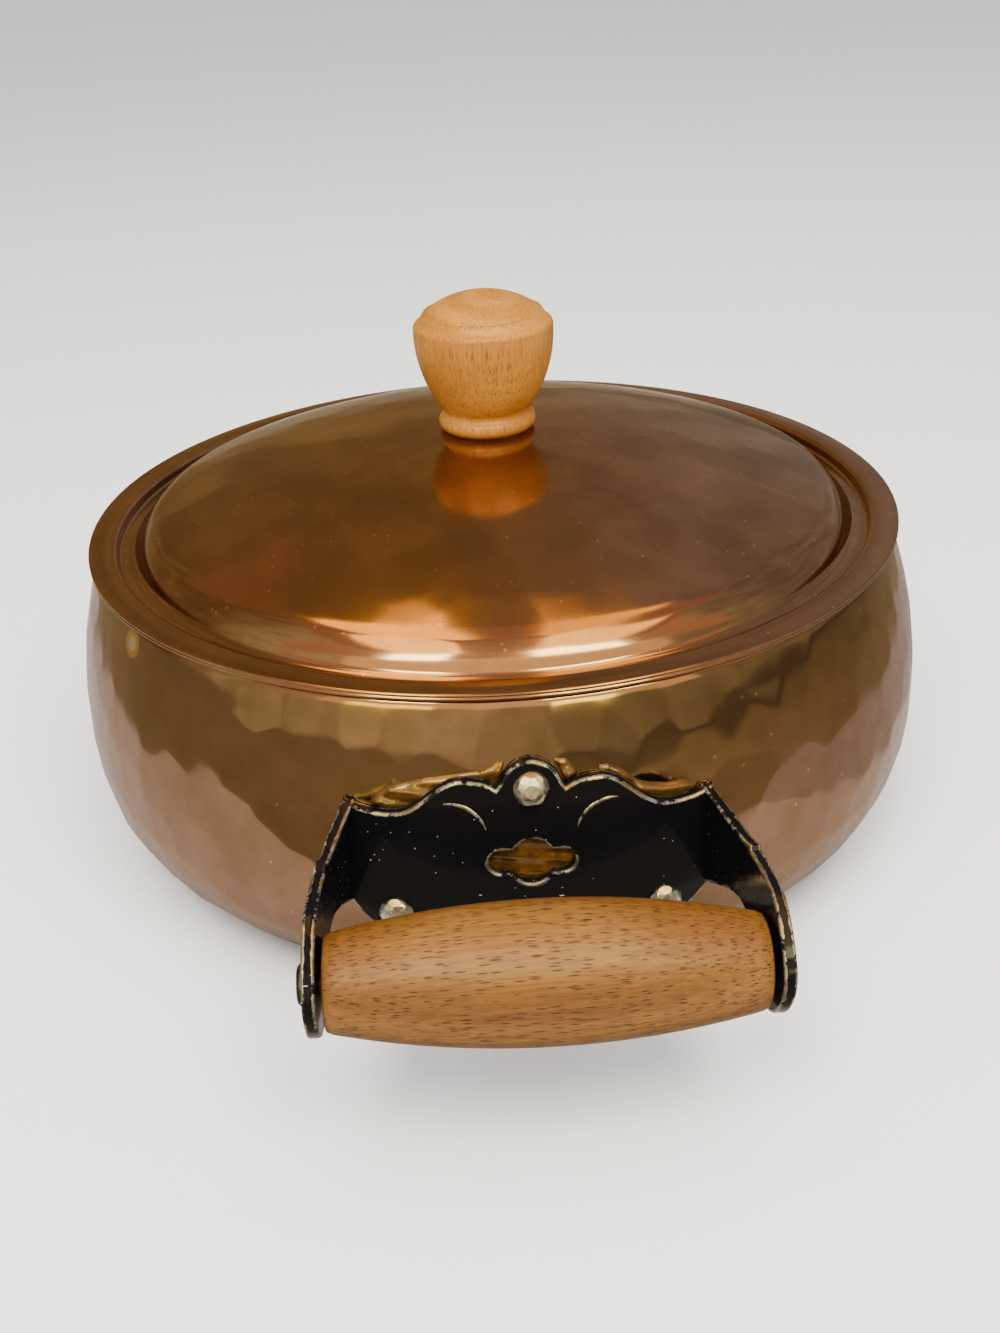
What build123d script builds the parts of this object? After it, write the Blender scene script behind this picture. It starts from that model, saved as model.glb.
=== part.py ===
from build123d import *
import math
import os

os.makedirs("parts", exist_ok=True)

# All sizes are in millimetres. The pot stands on z = 0 with its axis on Z,
# and its two handles face -Y (front) and +Y (rear).

# Pot shell, seen in half section
base_radius = 82.2
belly_radius = 128.0
belly_height = 43.1
base_fullness = 0.67
neck_radius = 117.6
rim_height = 94.3
rim_fillet = 3.4
mouth_radius = 113.2
copper_wall = 1.5
tin_wall = 0.3
skin_gap = 0.02

# Lid, one pressed sheet with its edge turned under
lid_radius = 120.0
lid_sheet = 0.95
hem_width = 5.5
hem_rounding = 0.9
flange_fillet = 1.6
mouth_clearance = 0.5
groove_depth = 3.2
groove_width = 6.4
groove_fillet = 1.0
dome_top_height = 120.2
dome_shoulder = 14.0
dome_foot_lean = 25.0
dome_foot_height = 2.4554
dome_foot_fillet = 3.0

# Turned knob and the screw that holds it from inside the lid
knob_foot_radius = 14.3
knob_foot_height = 5.0
knob_bead_inset = 0.8
knob_bead_step = 0.3
knob_neck_length = 1.2
knob_recess_radius = 11.0
knob_recess_depth = 1.0
knob_neck_radius = 12.8
knob_cup_height = 29.6
knob_cup_radius = 20.2
knob_waist_radius = 17.55
knob_waist_height = 14.6
knob_height = 39.8
knob_crown_radius = 16.6
knob_crown_height = 5.4
knob_brow = 0.7
knob_groove = 0.5
screw_radius = 2.0
screw_head_radius = 4.0
screw_head_height = 2.4
screw_head_rounding = 1.3
screw_tip_chamfer = 0.8
screw_grip = 20.0
screw_slot_width = 1.0
screw_slot_depth = 1.1
washer_radius = 9.0
washer_thickness = 1.0
washer_rounding = 0.3
hole_clearance = 0.2
thread_clearance = 0.02

# Handle bracket, one strip of sheet steel bent into a U around the wooden grip
steel = 2.9
plate_gap = 0.05
plate_half_width = 43.2
plate_centre_height = 56.0
handle_lean = 1.8
corner_height = 68.4
dip_offset = 32.7
dip_height = 66.9
bump_offset = 16.3
bump_height = 75.9
valley_offset = 8.3
valley_height = 73.9
valley_slope = 37.0
corner_slope = 22.0
lobe_radius = 7.1
lobe_foot_rise = 2.0
plate_foot_height = 42.6
plate_foot_slope = 60.0
skirt_offset = 33.0
skirt_height = 31.5
skirt_centre_height = 35.5
window_width = 21.0
window_slot_height = 6.4
window_bulge_width = 10.6
window_bulge_height = 12.2
window_height = 55.4
window_fillet = 0.9
crescent_radius = 8.6
crescent_width = 1.1
crescent_relief = 0.35
crescent_offset = 19.2
crescent_height = 61.9
crescent_turns = (78.0, 166.0)

# Arms of the bracket, in side view, and how far they bow apart
arm_end_half_gap = 49.5
arm_reach = 178.0
arm_flare = 12.2
arm_cusp_reach = 147.5
arm_cusp_height = 69.6
arm_cusp_slope = 18.0
arm_notch = 1.0
arm_notch_run = 0.4
arm_top_reach = 167.0
arm_top_height = 67.0
arm_tip_rise = 4.4
arm_arch_reach = 148.0
arm_arch_height = 52.0
arm_heel_slope = 21.0
arm_root_top = 68.0
arm_root_foot = 41.1

# Turned wooden grip on its steel rod
grip_inset = 12.7
grip_height = 51.4
grip_mid_radius = 16.0
grip_end_radius = 10.6
grip_end_fillet = 1.0
grip_end_gap = 0.3
rod_radius = 2.5
rod_running_clearance = 0.06
rod_fit_clearance = 0.02
rod_head_radius = 4.6
rod_head_height = 1.8
rod_head_rounding = 1.1
arm_end_radius = 12.6

# Rivets that hold each bracket to the pot
rivet_shank_radius = 2.4
rivet_head_radius = 4.3
rivet_head_height = 2.9
rivet_head_taper = 22.0
rivet_tail_radius = 3.9
rivet_tail_height = 1.4
rivet_tail_taper = 20.0
rivet_seat_gap = 0.1
top_rivet_height = 73.6
low_rivet_offset = 32.2
low_rivet_height = 39.7

# Sizes that follow from the ones above
wall_rise = rim_height - belly_height
wall_taper = 2 * (belly_radius - neck_radius) / wall_rise
lid_top = rim_height + 2 * lid_sheet
groove_floor = lid_top - groove_depth
groove_radius = mouth_radius - mouth_clearance - lid_sheet
dome_radius = groove_radius - groove_width
shoulder_end_rise = dome_shoulder * math.sin(math.radians(dome_foot_lean))
shoulder_centre_radius = dome_radius - dome_shoulder * math.cos(math.radians(dome_foot_lean))
shoulder_centre_height = groove_floor + dome_foot_height - shoulder_end_rise
crown_rise = dome_top_height - shoulder_centre_height
crown_gain = crown_rise - dome_shoulder
dome_crown_radius = (shoulder_centre_radius**2 + crown_rise**2 - dome_shoulder**2) / (2 * crown_gain)
crown_centre = dome_top_height - dome_crown_radius
shoulder_turn = math.degrees(math.asin(shoulder_centre_radius / (dome_crown_radius - dome_shoulder)))
grip_reach = arm_reach - grip_inset
arm_bow_radius = (arm_reach - belly_radius) / math.sin(math.radians(arm_flare))
arm_root_reach = belly_radius - 4 * steel
handle_drop = low_rivet_offset * math.sin(math.radians(handle_lean))


def heading(slope, side=1):
    """Direction of a line that climbs at an angle in degrees, away to the left if side is -1."""
    return side * math.cos(math.radians(slope)), math.sin(math.radians(slope))


def wall_radius(height):
    """Outer radius of the pot's wall at a height, close enough below the belly to seat a rivet."""
    if height > belly_height:
        return belly_radius - (belly_radius - neck_radius) * ((height - belly_height) / wall_rise) ** 2
    power = math.log(2) / math.log(8 / (4 + 3 * base_fullness))
    drop = 1 - height / belly_height
    return base_radius + (belly_radius - base_radius) * (1 - drop**power) ** (1 / power)


def crown_height(radius):
    """Height of the lid's top face over a radius inside the dome's shoulder."""
    return crown_centre + math.sqrt(dome_crown_radius**2 - radius**2)


def pot_region(inset, mode=Mode.ADD):
    """Half section of the pot's volume, drawn inset inside its outer skin, or outside if negative."""
    side = belly_radius - inset
    top = rim_height - inset
    lean = inset * (math.sqrt(1 + wall_taper**2) - wall_taper)
    corner = (neck_radius - lean, top)
    with BuildLine() as outline:
        Line((0, inset), (base_radius, inset))
        reach = base_fullness * (side - base_radius)
        climb = base_fullness * (belly_height - inset)
        Bezier(
            (base_radius, inset),
            (base_radius + reach, inset),
            (side, belly_height - climb),
            (side, belly_height),
        )
        Bezier((side, belly_height), (side, belly_height + wall_rise / 2), corner)
        Line(corner, (0, top))
        Line((0, top), (0, inset))
        fillet(outline.vertices().sort_by_distance(corner)[0], rim_fillet - inset)
    make_face(outline.edges(), mode=mode)


def lid_region(depth, mode=Mode.ADD):
    """Half section under the lid's skin, drawn depth below its top face, down past its lowest point."""
    low = groove_floor - 4 * lid_sheet
    crown_end = 90 - shoulder_turn
    shoulder_centre = (shoulder_centre_radius, shoulder_centre_height)
    edge = groove_radius + depth
    floor = groove_floor - depth
    top = lid_top - depth
    with BuildLine() as outline:
        crown = CenterArc((0, crown_centre), dome_crown_radius - depth, 90, -shoulder_turn)
        shoulder = CenterArc(shoulder_centre, dome_shoulder - depth, crown_end, dome_foot_lean - crown_end)
        drop = (shoulder @ 1).Y - floor
        foot = (shoulder @ 1).X + drop * math.tan(math.radians(dome_foot_lean))
        FilletPolyline(
            shoulder @ 1, (foot, floor), (edge, floor), (edge, top), (lid_radius, top),
            radius=[dome_foot_fillet + depth, groove_fillet + depth, flange_fillet - depth],
        )
        Line((lid_radius, top), (lid_radius, low))
        Line((lid_radius, low), (0, low))
        Line((0, low), crown @ 0)
    make_face(outline.edges(), mode=mode)


def on_handle(plane):
    """Places a plane that is drawn on a level handle on the handle as it is riveted, slightly off level."""
    centre = Location((0, 0, plate_centre_height))
    return Plane(centre * Location((0, 0, 0), (0, handle_lean, 0)) * centre.inverse() * plane.location)


def rivet_plane(offset, height, depth):
    """Plane square to the pot's wall behind a point of the level bracket, depth outside the wall."""
    point = on_handle(Plane((offset, 0, height))).origin
    turn = math.asin(point.X / wall_radius(point.Z))
    tilt = math.atan(wall_taper * max(point.Z - belly_height, 0.0) / wall_rise)
    outward = Vector(math.sin(turn), -math.cos(turn), 0)
    normal = outward * math.cos(tilt) + Vector(0, 0, 1) * math.sin(tilt)
    origin = outward * wall_radius(point.Z) + Vector(0, 0, point.Z) + normal * depth
    return Plane(origin, x_dir=(math.cos(turn), math.sin(turn), 0), z_dir=normal)


rivet_places = {
    "top": (0.0, top_rivet_height),
    "left": (-low_rivet_offset, low_rivet_height),
    "right": (low_rivet_offset, low_rivet_height),
}
plate_face = plate_gap + steel
inside_depth = copper_wall + skin_gap + tin_wall


def save(name, piece):
    """Labels a finished piece and writes its file."""
    piece.label = name
    export_step(piece, f"parts/{name}.step")


def cut_rivet_holes():
    """Cuts the six rivet holes through whatever wall is being built."""
    for turn in (0, 180):
        for offset, height in rivet_places.values():
            plane = rivet_plane(offset, height, 2 * steel)
            with BuildSketch(Plane(Location((0, 0, 0), (0, 0, turn)) * plane.location)) as hole:
                Circle(rivet_shank_radius + hole_clearance)
            extrude(hole.sketch, amount=-4 * steel, mode=Mode.SUBTRACT)


# Copper shell of the pot
with BuildPart() as pot_body:
    with BuildSketch(Plane.XZ):
        pot_region(0)
    revolve(axis=Axis.Z)
    with BuildSketch(Plane.XZ):
        pot_region(copper_wall)
    revolve(axis=Axis.Z, mode=Mode.SUBTRACT)
    with BuildSketch(Plane.XY.offset(rim_height)):
        Circle(mouth_radius)
    extrude(amount=-2 * copper_wall, mode=Mode.SUBTRACT)
    cut_rivet_holes()
save("pot_body", pot_body.part)

# Tin lining wiped over the inside of the shell
with BuildPart() as pot_tin_lining:
    with BuildSketch(Plane.XZ):
        pot_region(copper_wall + skin_gap)
    revolve(axis=Axis.Z)
    with BuildSketch(Plane.XZ):
        pot_region(inside_depth)
    revolve(axis=Axis.Z, mode=Mode.SUBTRACT)
    with BuildSketch(Plane.XY.offset(rim_height)):
        Circle(mouth_radius)
    extrude(amount=-4 * copper_wall, mode=Mode.SUBTRACT)
    cut_rivet_holes()
save("pot_tin_lining", pot_tin_lining.part)

# Lid sheet with its rolled edge
with BuildPart() as lid:
    with BuildSketch(Plane.XZ) as lid_section:
        lid_region(0)
        lid_region(lid_sheet, Mode.SUBTRACT)
        with Locations((lid_radius - hem_width, rim_height)):
            Rectangle(hem_width, lid_sheet, align=(Align.MIN, Align.MIN))
        rim = lid_section.vertices().group_by(Axis.X)[-1]
        fillet(rim, hem_rounding)
    revolve(axis=Axis.Z)
    with BuildSketch(Plane.XY.offset(dome_top_height + lid_sheet)):
        Circle(screw_radius + hole_clearance)
    extrude(amount=-4 * lid_sheet, mode=Mode.SUBTRACT)
save("lid", lid.part)

# Tin lining of the lid, inside the dome and down to the groove
with BuildPart() as lid_tin_lining:
    lining_skin = lid_sheet + skin_gap
    with BuildSketch(Plane.XZ):
        lid_region(lining_skin)
        lid_region(lining_skin + tin_wall, Mode.SUBTRACT)
        with Locations((groove_radius - groove_width / 2, 0)):
            Rectangle(lid_radius, dome_top_height, align=(Align.MIN, Align.MIN), mode=Mode.SUBTRACT)
    revolve(axis=Axis.Z)
    with BuildSketch(Plane.XY.offset(dome_top_height)):
        Circle(screw_radius + hole_clearance)
    extrude(amount=-4 * lid_sheet, mode=Mode.SUBTRACT)
save("lid_tin_lining", lid_tin_lining.part)

# Knob: foot bead, neck, cup-shaped body and a low crown inside a fine groove
knob_seat = crown_height(knob_recess_radius) + skin_gap
screw_tip = dome_top_height + screw_grip
with BuildPart() as lid_knob:
    with BuildSketch(Plane.XZ):
        with BuildLine():
            cup_top = knob_seat + knob_cup_height
            crown_foot = knob_seat + knob_height - knob_crown_height
            neck = (knob_neck_radius, knob_seat + knob_foot_height + knob_neck_length)
            foot_edge = (knob_foot_radius - knob_bead_inset, knob_seat)
            Line((0, knob_seat), foot_edge)
            bead = ThreePointArc(
                foot_edge,
                (knob_foot_radius, knob_seat + knob_foot_height / 2),
                (knob_neck_radius + knob_bead_step, knob_seat + knob_foot_height),
            )
            Line(bead @ 1, neck)
            cup = ThreePointArc(
                neck,
                (knob_waist_radius, knob_seat + knob_waist_height),
                (knob_cup_radius, cup_top),
            )
            crown_reach = (knob_crown_radius**2 + knob_crown_height**2) / (2 * knob_crown_height)
            crown_turn = math.degrees(math.asin(knob_crown_radius / crown_reach))
            ball_height = knob_seat + knob_height - crown_reach
            crown = CenterArc((0, ball_height), crown_reach, 90 - crown_turn, crown_turn)
            Polyline(
                cup @ 1,
                (knob_cup_radius - knob_brow, cup_top + 3 * knob_brow),
                (knob_crown_radius + knob_groove, crown_foot),
                (knob_crown_radius + knob_groove / 2, crown_foot - knob_groove),
                crown @ 0,
            )
            Line(crown @ 1, (0, knob_seat))
        make_face()
    revolve(axis=Axis.Z)
    with BuildSketch(Plane.XY.offset(knob_seat)):
        Circle(knob_recess_radius)
    extrude(amount=knob_recess_depth, mode=Mode.SUBTRACT)
    with BuildSketch(Plane.XY.offset(knob_seat)):
        Circle(screw_radius + thread_clearance)
    extrude(amount=screw_tip - knob_seat, mode=Mode.SUBTRACT)
save("lid_knob", lid_knob.part)

# Washer and round-headed screw under the dome
washer_top = crown_height(washer_radius) - lid_sheet - 2 * skin_gap - tin_wall - skin_gap
with BuildPart() as knob_washer:
    with BuildSketch(Plane.XY.offset(washer_top)):
        Circle(washer_radius)
        Circle(screw_radius + hole_clearance, mode=Mode.SUBTRACT)
    extrude(amount=-washer_thickness)
    washer_edges = knob_washer.edges().group_by(Axis.Z)[0].sort_by(SortBy.RADIUS)[-1:]
    fillet(washer_edges, washer_rounding)
save("knob_washer", knob_washer.part)

with BuildPart() as knob_screw:
    head_top = washer_top - washer_thickness
    with BuildSketch(Plane.XY.offset(head_top)):
        Circle(screw_head_radius)
    extrude(amount=-screw_head_height)
    fillet(knob_screw.edges().group_by(Axis.Z)[0], screw_head_rounding)
    with BuildSketch(Plane.XY.offset(head_top)):
        Circle(screw_radius)
    extrude(amount=screw_tip - head_top - skin_gap)
    chamfer(knob_screw.edges().group_by(Axis.Z)[-1], screw_tip_chamfer)
    with BuildSketch(Plane.XY.offset(head_top - screw_head_height)):
        Rectangle(2 * screw_head_radius, screw_slot_width)
    extrude(amount=screw_slot_depth, mode=Mode.SUBTRACT)
save("knob_screw", knob_screw.part)


def half_plate_edge(side):
    """Right or left half of the plate's outline in front view, from its lobe down to its skirt."""
    corner = (side * (plate_half_width + steel / 2), corner_height)
    dip = (side * dip_offset, dip_height)
    bump = (side * bump_offset, bump_height)
    valley = (side * valley_offset, valley_height)
    lobe_top = (0, top_rivet_height + lobe_radius)
    lobe_side = (side * lobe_radius, top_rivet_height + lobe_foot_rise)
    TangentArc(lobe_top, lobe_side, tangent=(side, 0))
    Line(lobe_side, valley)
    climbs = [heading(valley_slope, side), heading(corner_slope, side)]
    Spline(valley, bump, dip, corner, tangents=climbs)
    Line(corner, (corner[0], plate_foot_height))
    Spline(
        (corner[0], plate_foot_height),
        (side * skirt_offset, skirt_height),
        (0, skirt_centre_height),
        tangents=[heading(-plate_foot_slope, -side), (-side, 0)],
    )


def arm_edge():
    """Outline of an arm in side view: level top with a cusp, rounded end and an arch underneath."""
    root = (-arm_root_reach, arm_root_top)
    cusp = (-arm_cusp_reach, arm_cusp_height)
    notch = (-arm_cusp_reach - arm_notch_run, arm_cusp_height - arm_notch)
    top_end = (-arm_top_reach, arm_top_height)
    tip = (-arm_reach, grip_height + arm_tip_rise)
    heel = (-grip_reach, grip_height - arm_end_radius)
    arch = (-arm_arch_reach, arm_arch_height)
    foot = (-arm_root_reach, arm_root_foot)
    Spline(root, cusp, tangents=[(-1, 0), heading(arm_cusp_slope, -1)])
    Line(cusp, notch)
    Spline(notch, top_end, tip, heel, tangents=[(-1, 0), (1, 0)])
    Spline(heel, arch, foot, tangents=[heading(arm_heel_slope), heading(-arm_heel_slope)])
    Line(foot, root)


def rod_plane(offset):
    """Plane square to the grip's rod at a distance along it from the middle of the handle."""
    return on_handle(Plane((offset, -grip_reach, grip_height), x_dir=(0, 1, 0), z_dir=(1, 0, 0)))


# One bracket, riveted to the front of the pot
with BuildPart() as front_bracket_arms:
    with BuildSketch(on_handle(Plane.XY)):
        for side in (-1, 1):
            with BuildLine():
                bow_centre = (side * (arm_end_half_gap - arm_bow_radius), -arm_reach)
                bow_length = arm_reach - arm_root_reach + steel
                start = 0 if side > 0 else 180
                spans = []
                for radius in (arm_bow_radius, arm_bow_radius + steel):
                    sweep_angle = math.degrees(math.asin(bow_length / radius))
                    spans.append(CenterArc(bow_centre, radius, start, side * sweep_angle))
                Line(spans[0] @ 0, spans[1] @ 0)
                Line(spans[0] @ 1, spans[1] @ 1)
            make_face()
    extrude(amount=rim_height)
    with BuildSketch(on_handle(Plane.YZ.offset(-belly_radius))):
        with BuildLine():
            arm_edge()
        make_face()
    extrude(amount=2 * belly_radius, mode=Mode.INTERSECT)

# Crescents stamped in relief on the plate, one on each side of the top rivet
with BuildPart() as front_bracket_marks:
    with BuildSketch(on_handle(Plane.XZ)):
        for side in (-1, 1):
            with BuildLine():
                centre = Vector(side * crescent_offset, crescent_height)
                ends = [centre + crescent_radius * Vector(*heading(turn, side)) for turn in crescent_turns]
                middle = Vector(*heading(sum(crescent_turns) / 2, side))
                for spread in (-crescent_width / 2, crescent_width / 2):
                    ThreePointArc(ends[0], centre + (crescent_radius + spread) * middle, ends[1])
            make_face()
    extrude(amount=2 * belly_radius)
    with BuildSketch(Plane.XZ):
        pot_region(-plate_face - crescent_relief)
    revolve(axis=Axis.Z, mode=Mode.INTERSECT)

# Window cut in the plate: a slot with a round bulge above and below
with BuildSketch() as window:
    with Locations((0, window_height)):
        SlotOverall(window_width, window_slot_height)
        Ellipse(window_bulge_width / 2, window_bulge_height / 2)
    inner_corners = window.vertices().filter_by(lambda vertex: abs(vertex.X) < window_bulge_width / 2)
    fillet(inner_corners, window_fillet)

with BuildPart() as front_handle_bracket:
    with BuildSketch(on_handle(Plane.XZ)):
        with BuildLine():
            half_plate_edge(1)
            half_plate_edge(-1)
        make_face()
        add(window.sketch, mode=Mode.SUBTRACT)
    extrude(amount=2 * belly_radius)
    with BuildSketch(Plane.XZ):
        pot_region(-plate_face)
    revolve(axis=Axis.Z, mode=Mode.INTERSECT)
    add(front_bracket_arms.part)
    add(front_bracket_marks.part)
    with BuildSketch(Plane.XZ):
        pot_region(-plate_gap)
    revolve(axis=Axis.Z, mode=Mode.SUBTRACT)
    for offset, height in rivet_places.values():
        with BuildSketch(rivet_plane(offset, height, 2 * steel)):
            Circle(rivet_shank_radius + hole_clearance)
        extrude(amount=-3 * steel, mode=Mode.SUBTRACT)
    with BuildSketch(rod_plane(-belly_radius)):
        Circle(rod_radius + rod_fit_clearance)
    extrude(amount=2 * belly_radius, mode=Mode.SUBTRACT)

# Barrel-shaped wooden grip, free to turn on its rod
grip_back_reach = arm_reach - grip_reach + grip_end_radius
grip_bow = arm_bow_radius - math.sqrt(arm_bow_radius**2 - grip_back_reach**2)
grip_half_length = arm_end_half_gap - grip_bow - grip_end_gap
with BuildPart() as front_grip:
    with BuildSketch(on_handle(Plane((0, -grip_reach, grip_height), x_dir=(1, 0, 0), z_dir=(0, -1, 0)))):
        with BuildLine():
            barrel = ThreePointArc(
                (-grip_half_length, grip_end_radius), (0, grip_mid_radius), (grip_half_length, grip_end_radius)
            )
            bore = rod_radius + rod_running_clearance
            Polyline(barrel @ 1, (grip_half_length, bore), (-grip_half_length, bore), barrel @ 0)
        make_face()
    revolve(axis=Axis((0, -grip_reach, grip_height), rod_plane(0).z_dir))
    end_edges = front_grip.edges().filter_by(GeomType.CIRCLE).sort_by(SortBy.RADIUS)[-2:]
    fillet(end_edges, grip_end_fillet)

# Steel rod through both arms, its ends peened over
with BuildPart() as front_grip_rod:
    rod_shoulder = arm_end_half_gap + steel
    with BuildSketch(rod_plane(-rod_shoulder)):
        Circle(rod_radius)
    extrude(amount=2 * rod_shoulder)
    for side in (-1, 1):
        with BuildSketch(rod_plane(side * rod_shoulder)):
            Circle(rod_head_radius)
        extrude(amount=side * rod_head_height)
    rod_ends = front_grip_rod.edges().filter_by(GeomType.CIRCLE).sort_by(Axis.X)
    fillet([rod_ends[0], rod_ends[-1]], rod_head_rounding)


def make_rivet(offset, height):
    """Rivet with a domed head on the bracket and a flat tail inside the pot."""
    sag = wall_radius(height - handle_drop) - wall_radius(height - handle_drop - rivet_tail_radius)
    inner = -inside_depth - rivet_seat_gap - rivet_tail_radius**2 / (2 * mouth_radius) - max(sag, 0)
    with BuildPart() as rivet:
        with BuildSketch(rivet_plane(offset, height, inner)):
            Circle(rivet_shank_radius)
        extrude(amount=plate_face + rivet_seat_gap - inner)
        with BuildSketch(rivet_plane(offset, height, inner)):
            Circle(rivet_tail_radius)
        extrude(amount=-rivet_tail_height, taper=rivet_tail_taper)
        with BuildSketch(rivet_plane(offset, height, plate_face + rivet_seat_gap)):
            Circle(rivet_head_radius)
        extrude(amount=rivet_head_height, taper=rivet_head_taper)
    return rivet.part


pieces = {
    "handle_bracket": front_handle_bracket.part,
    "grip": front_grip.part,
    "grip_rod": front_grip_rod.part,
}
for place, spot in rivet_places.items():
    pieces[f"rivet_{place}"] = make_rivet(*spot)

for name, piece in pieces.items():
    save(f"front_{name}", piece)
    save(f"rear_{name}", piece.rotate(Axis.Z, 180))
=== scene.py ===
"""Looks of a hammered copper casserole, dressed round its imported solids.

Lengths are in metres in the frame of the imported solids: the pot stands on z = 0 with its axis on Z,
its front handle points along -Y and its rear handle along +Y.
"""

import logging
import math
import random
from collections.abc import Callable
from dataclasses import dataclass, field
from enum import Enum

import bmesh
import bpy
from mathutils import Matrix, Vector
from mathutils.kdtree import KDTree


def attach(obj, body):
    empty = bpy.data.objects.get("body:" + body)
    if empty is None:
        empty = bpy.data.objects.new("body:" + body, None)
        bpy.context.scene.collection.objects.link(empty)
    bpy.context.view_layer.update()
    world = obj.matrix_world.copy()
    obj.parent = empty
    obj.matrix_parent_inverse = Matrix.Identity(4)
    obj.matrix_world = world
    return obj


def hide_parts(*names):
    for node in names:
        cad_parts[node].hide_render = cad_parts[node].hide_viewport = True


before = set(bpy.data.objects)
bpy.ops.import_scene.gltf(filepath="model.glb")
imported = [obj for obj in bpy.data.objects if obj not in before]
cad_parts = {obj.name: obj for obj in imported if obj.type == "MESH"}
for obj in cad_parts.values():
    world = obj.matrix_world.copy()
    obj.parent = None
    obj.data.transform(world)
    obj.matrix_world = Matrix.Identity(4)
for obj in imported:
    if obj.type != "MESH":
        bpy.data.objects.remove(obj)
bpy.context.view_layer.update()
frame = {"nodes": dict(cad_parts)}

log = logging.getLogger("casserole")
MM = 0.001
FULL_TURN = 2 * math.pi
MERGE_DISTANCE = 1e-7

Point2 = tuple[float, float]
Point3 = tuple[float, float, float]
Colour = tuple[float, float, float, float]
Bend = Callable[[float, float, float], Vector]
Mesh = bmesh.types.BMesh
Layer = bmesh.types.BMLayerItem
Material = bpy.types.Material
Object = bpy.types.Object
Node = bpy.types.Node
Socket = bpy.types.NodeSocket
Tree = bpy.types.NodeTree


class Body(Enum):
    """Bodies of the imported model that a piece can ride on."""

    POT = "pot"
    LID = "lid"
    FRONT_GRIP = "front_grip"
    REAR_GRIP = "rear_grip"


class Slot(Enum):
    """Finishes named by the record that the pieces made here stand for."""

    COPPER = "copper"
    ENAMEL = "black_enamel"
    GRIP_WOOD = "grip_wood"
    KNOB_WOOD = "knob_wood"
    RIVET = "rivet_steel"


class End(Enum):
    """The two ends of the pot, each with how far a part drawn for the front is turned about Z."""

    FRONT = 0.0
    REAR = math.pi


def arc(centre: Point2, radius: float, start: float, end: float, count: int) -> list[Point2]:
    """Points along an arc.

    Args:
        centre: Centre of the arc.
        radius: Radius of the arc.
        start: Angle of the first point, in degrees.
        end: Angle of the last point, in degrees.
        count: Number of spans.

    Returns:
        The arc's points from start to end.
    """
    turns = [math.radians(start + (end - start) * i / count) for i in range(count + 1)]
    return [(centre[0] + radius * math.cos(t), centre[1] + radius * math.sin(t)) for t in turns]


def bezier(corners: list[Point2], count: int) -> list[Point2]:
    """Points along a cubic curve.

    Args:
        corners: Its four control points.
        count: Number of spans.

    Returns:
        The curve's points from its first control point to its last.
    """
    points = []
    for i in range(count + 1):
        t = i / count
        share = ((1 - t) ** 3, 3 * t * (1 - t) ** 2, 3 * t**2 * (1 - t), t**3)
        points.append(tuple(sum(s * c[k] for s, c in zip(share, corners)) for k in range(2)))
    return points


def resample(points: list[Point2], step: float) -> list[Point2]:
    """Splits the longer spans of a line.

    Args:
        points: Corners of the line.
        step: Longest span that is left.

    Returns:
        The line's points, its own corners among them.
    """
    made = [points[0]]
    for a, b in zip(points, points[1:]):
        count = max(1, math.ceil(math.dist(a, b) / step))
        run, rise = b[0] - a[0], b[1] - a[1]
        made += [(a[0] + run * i / count, a[1] + rise * i / count) for i in range(1, count + 1)]
    return made


def spun(profile: list[Point2], steps: int) -> Mesh:
    """Turns a half section round Z.

    Args:
        profile: Points of the section as radius and height, in metres. Its ends lie on the axis or join.
        steps: Number of steps in the full turn.

    Returns:
        The closed shape, its faces outwards.
    """
    bm = bmesh.new()
    verts = [bm.verts.new((r, 0, z)) for r, z in profile]
    edges = [bm.edges.new(pair) for pair in zip(verts, verts[1:])]
    bmesh.ops.spin(
        bm, geom=verts + edges, cent=(0, 0, 0), axis=(0, 0, 1), angle=FULL_TURN, steps=steps, use_merge=True
    )
    bmesh.ops.remove_doubles(bm, verts=bm.verts, dist=MERGE_DISTANCE)
    bmesh.ops.recalc_face_normals(bm, faces=bm.faces)
    return bm


def outlined(bm: Mesh, loop: list[Point2], height: float) -> list:
    """Adds a closed line at a height and returns its vertices and edges."""
    verts = [bm.verts.new((u, v, height)) for u, v in loop]
    return verts + [bm.edges.new(pair) for pair in zip(verts, verts[1:] + verts[:1])]


def sliced(bm: Mesh, point: Point3, normal: Point3, clear: bool = False) -> list:
    """Cuts a whole mesh along a plane.

    Args:
        bm: The mesh.
        point: A point of the plane.
        normal: The plane's normal.
        clear: Whether what lies in front of the plane is taken off.

    Returns:
        The vertices and edges along the cut.
    """
    geometry = list(bm.verts) + list(bm.edges) + list(bm.faces)
    return bmesh.ops.bisect_plane(
        bm, geom=geometry, plane_co=point, plane_no=normal, clear_outer=clear, dist=MERGE_DISTANCE
    )["geom_cut"]


def finished(
    name: str,
    bm: Mesh,
    material: Material,
    body: Body,
    slot: Slot,
    nodes: tuple[str, ...] = (),
    smooth: bool = True,
) -> Object:
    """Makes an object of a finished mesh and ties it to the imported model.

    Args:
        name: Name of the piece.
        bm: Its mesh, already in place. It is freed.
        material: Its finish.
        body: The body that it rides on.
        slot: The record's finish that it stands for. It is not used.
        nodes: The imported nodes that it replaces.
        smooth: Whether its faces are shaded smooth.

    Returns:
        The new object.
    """
    mesh = bpy.data.meshes.new(name)
    for face in bm.faces:
        face.smooth = smooth
    bm.to_mesh(mesh)
    bm.free()
    mesh.materials.append(material)
    obj = bpy.data.objects.new(name, mesh)
    bpy.context.scene.collection.objects.link(obj)
    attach(obj, body.value)
    if nodes:
        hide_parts(*nodes)
    log.info("%s: %d faces on %s", name, len(mesh.polygons), body.value)
    return obj


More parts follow.
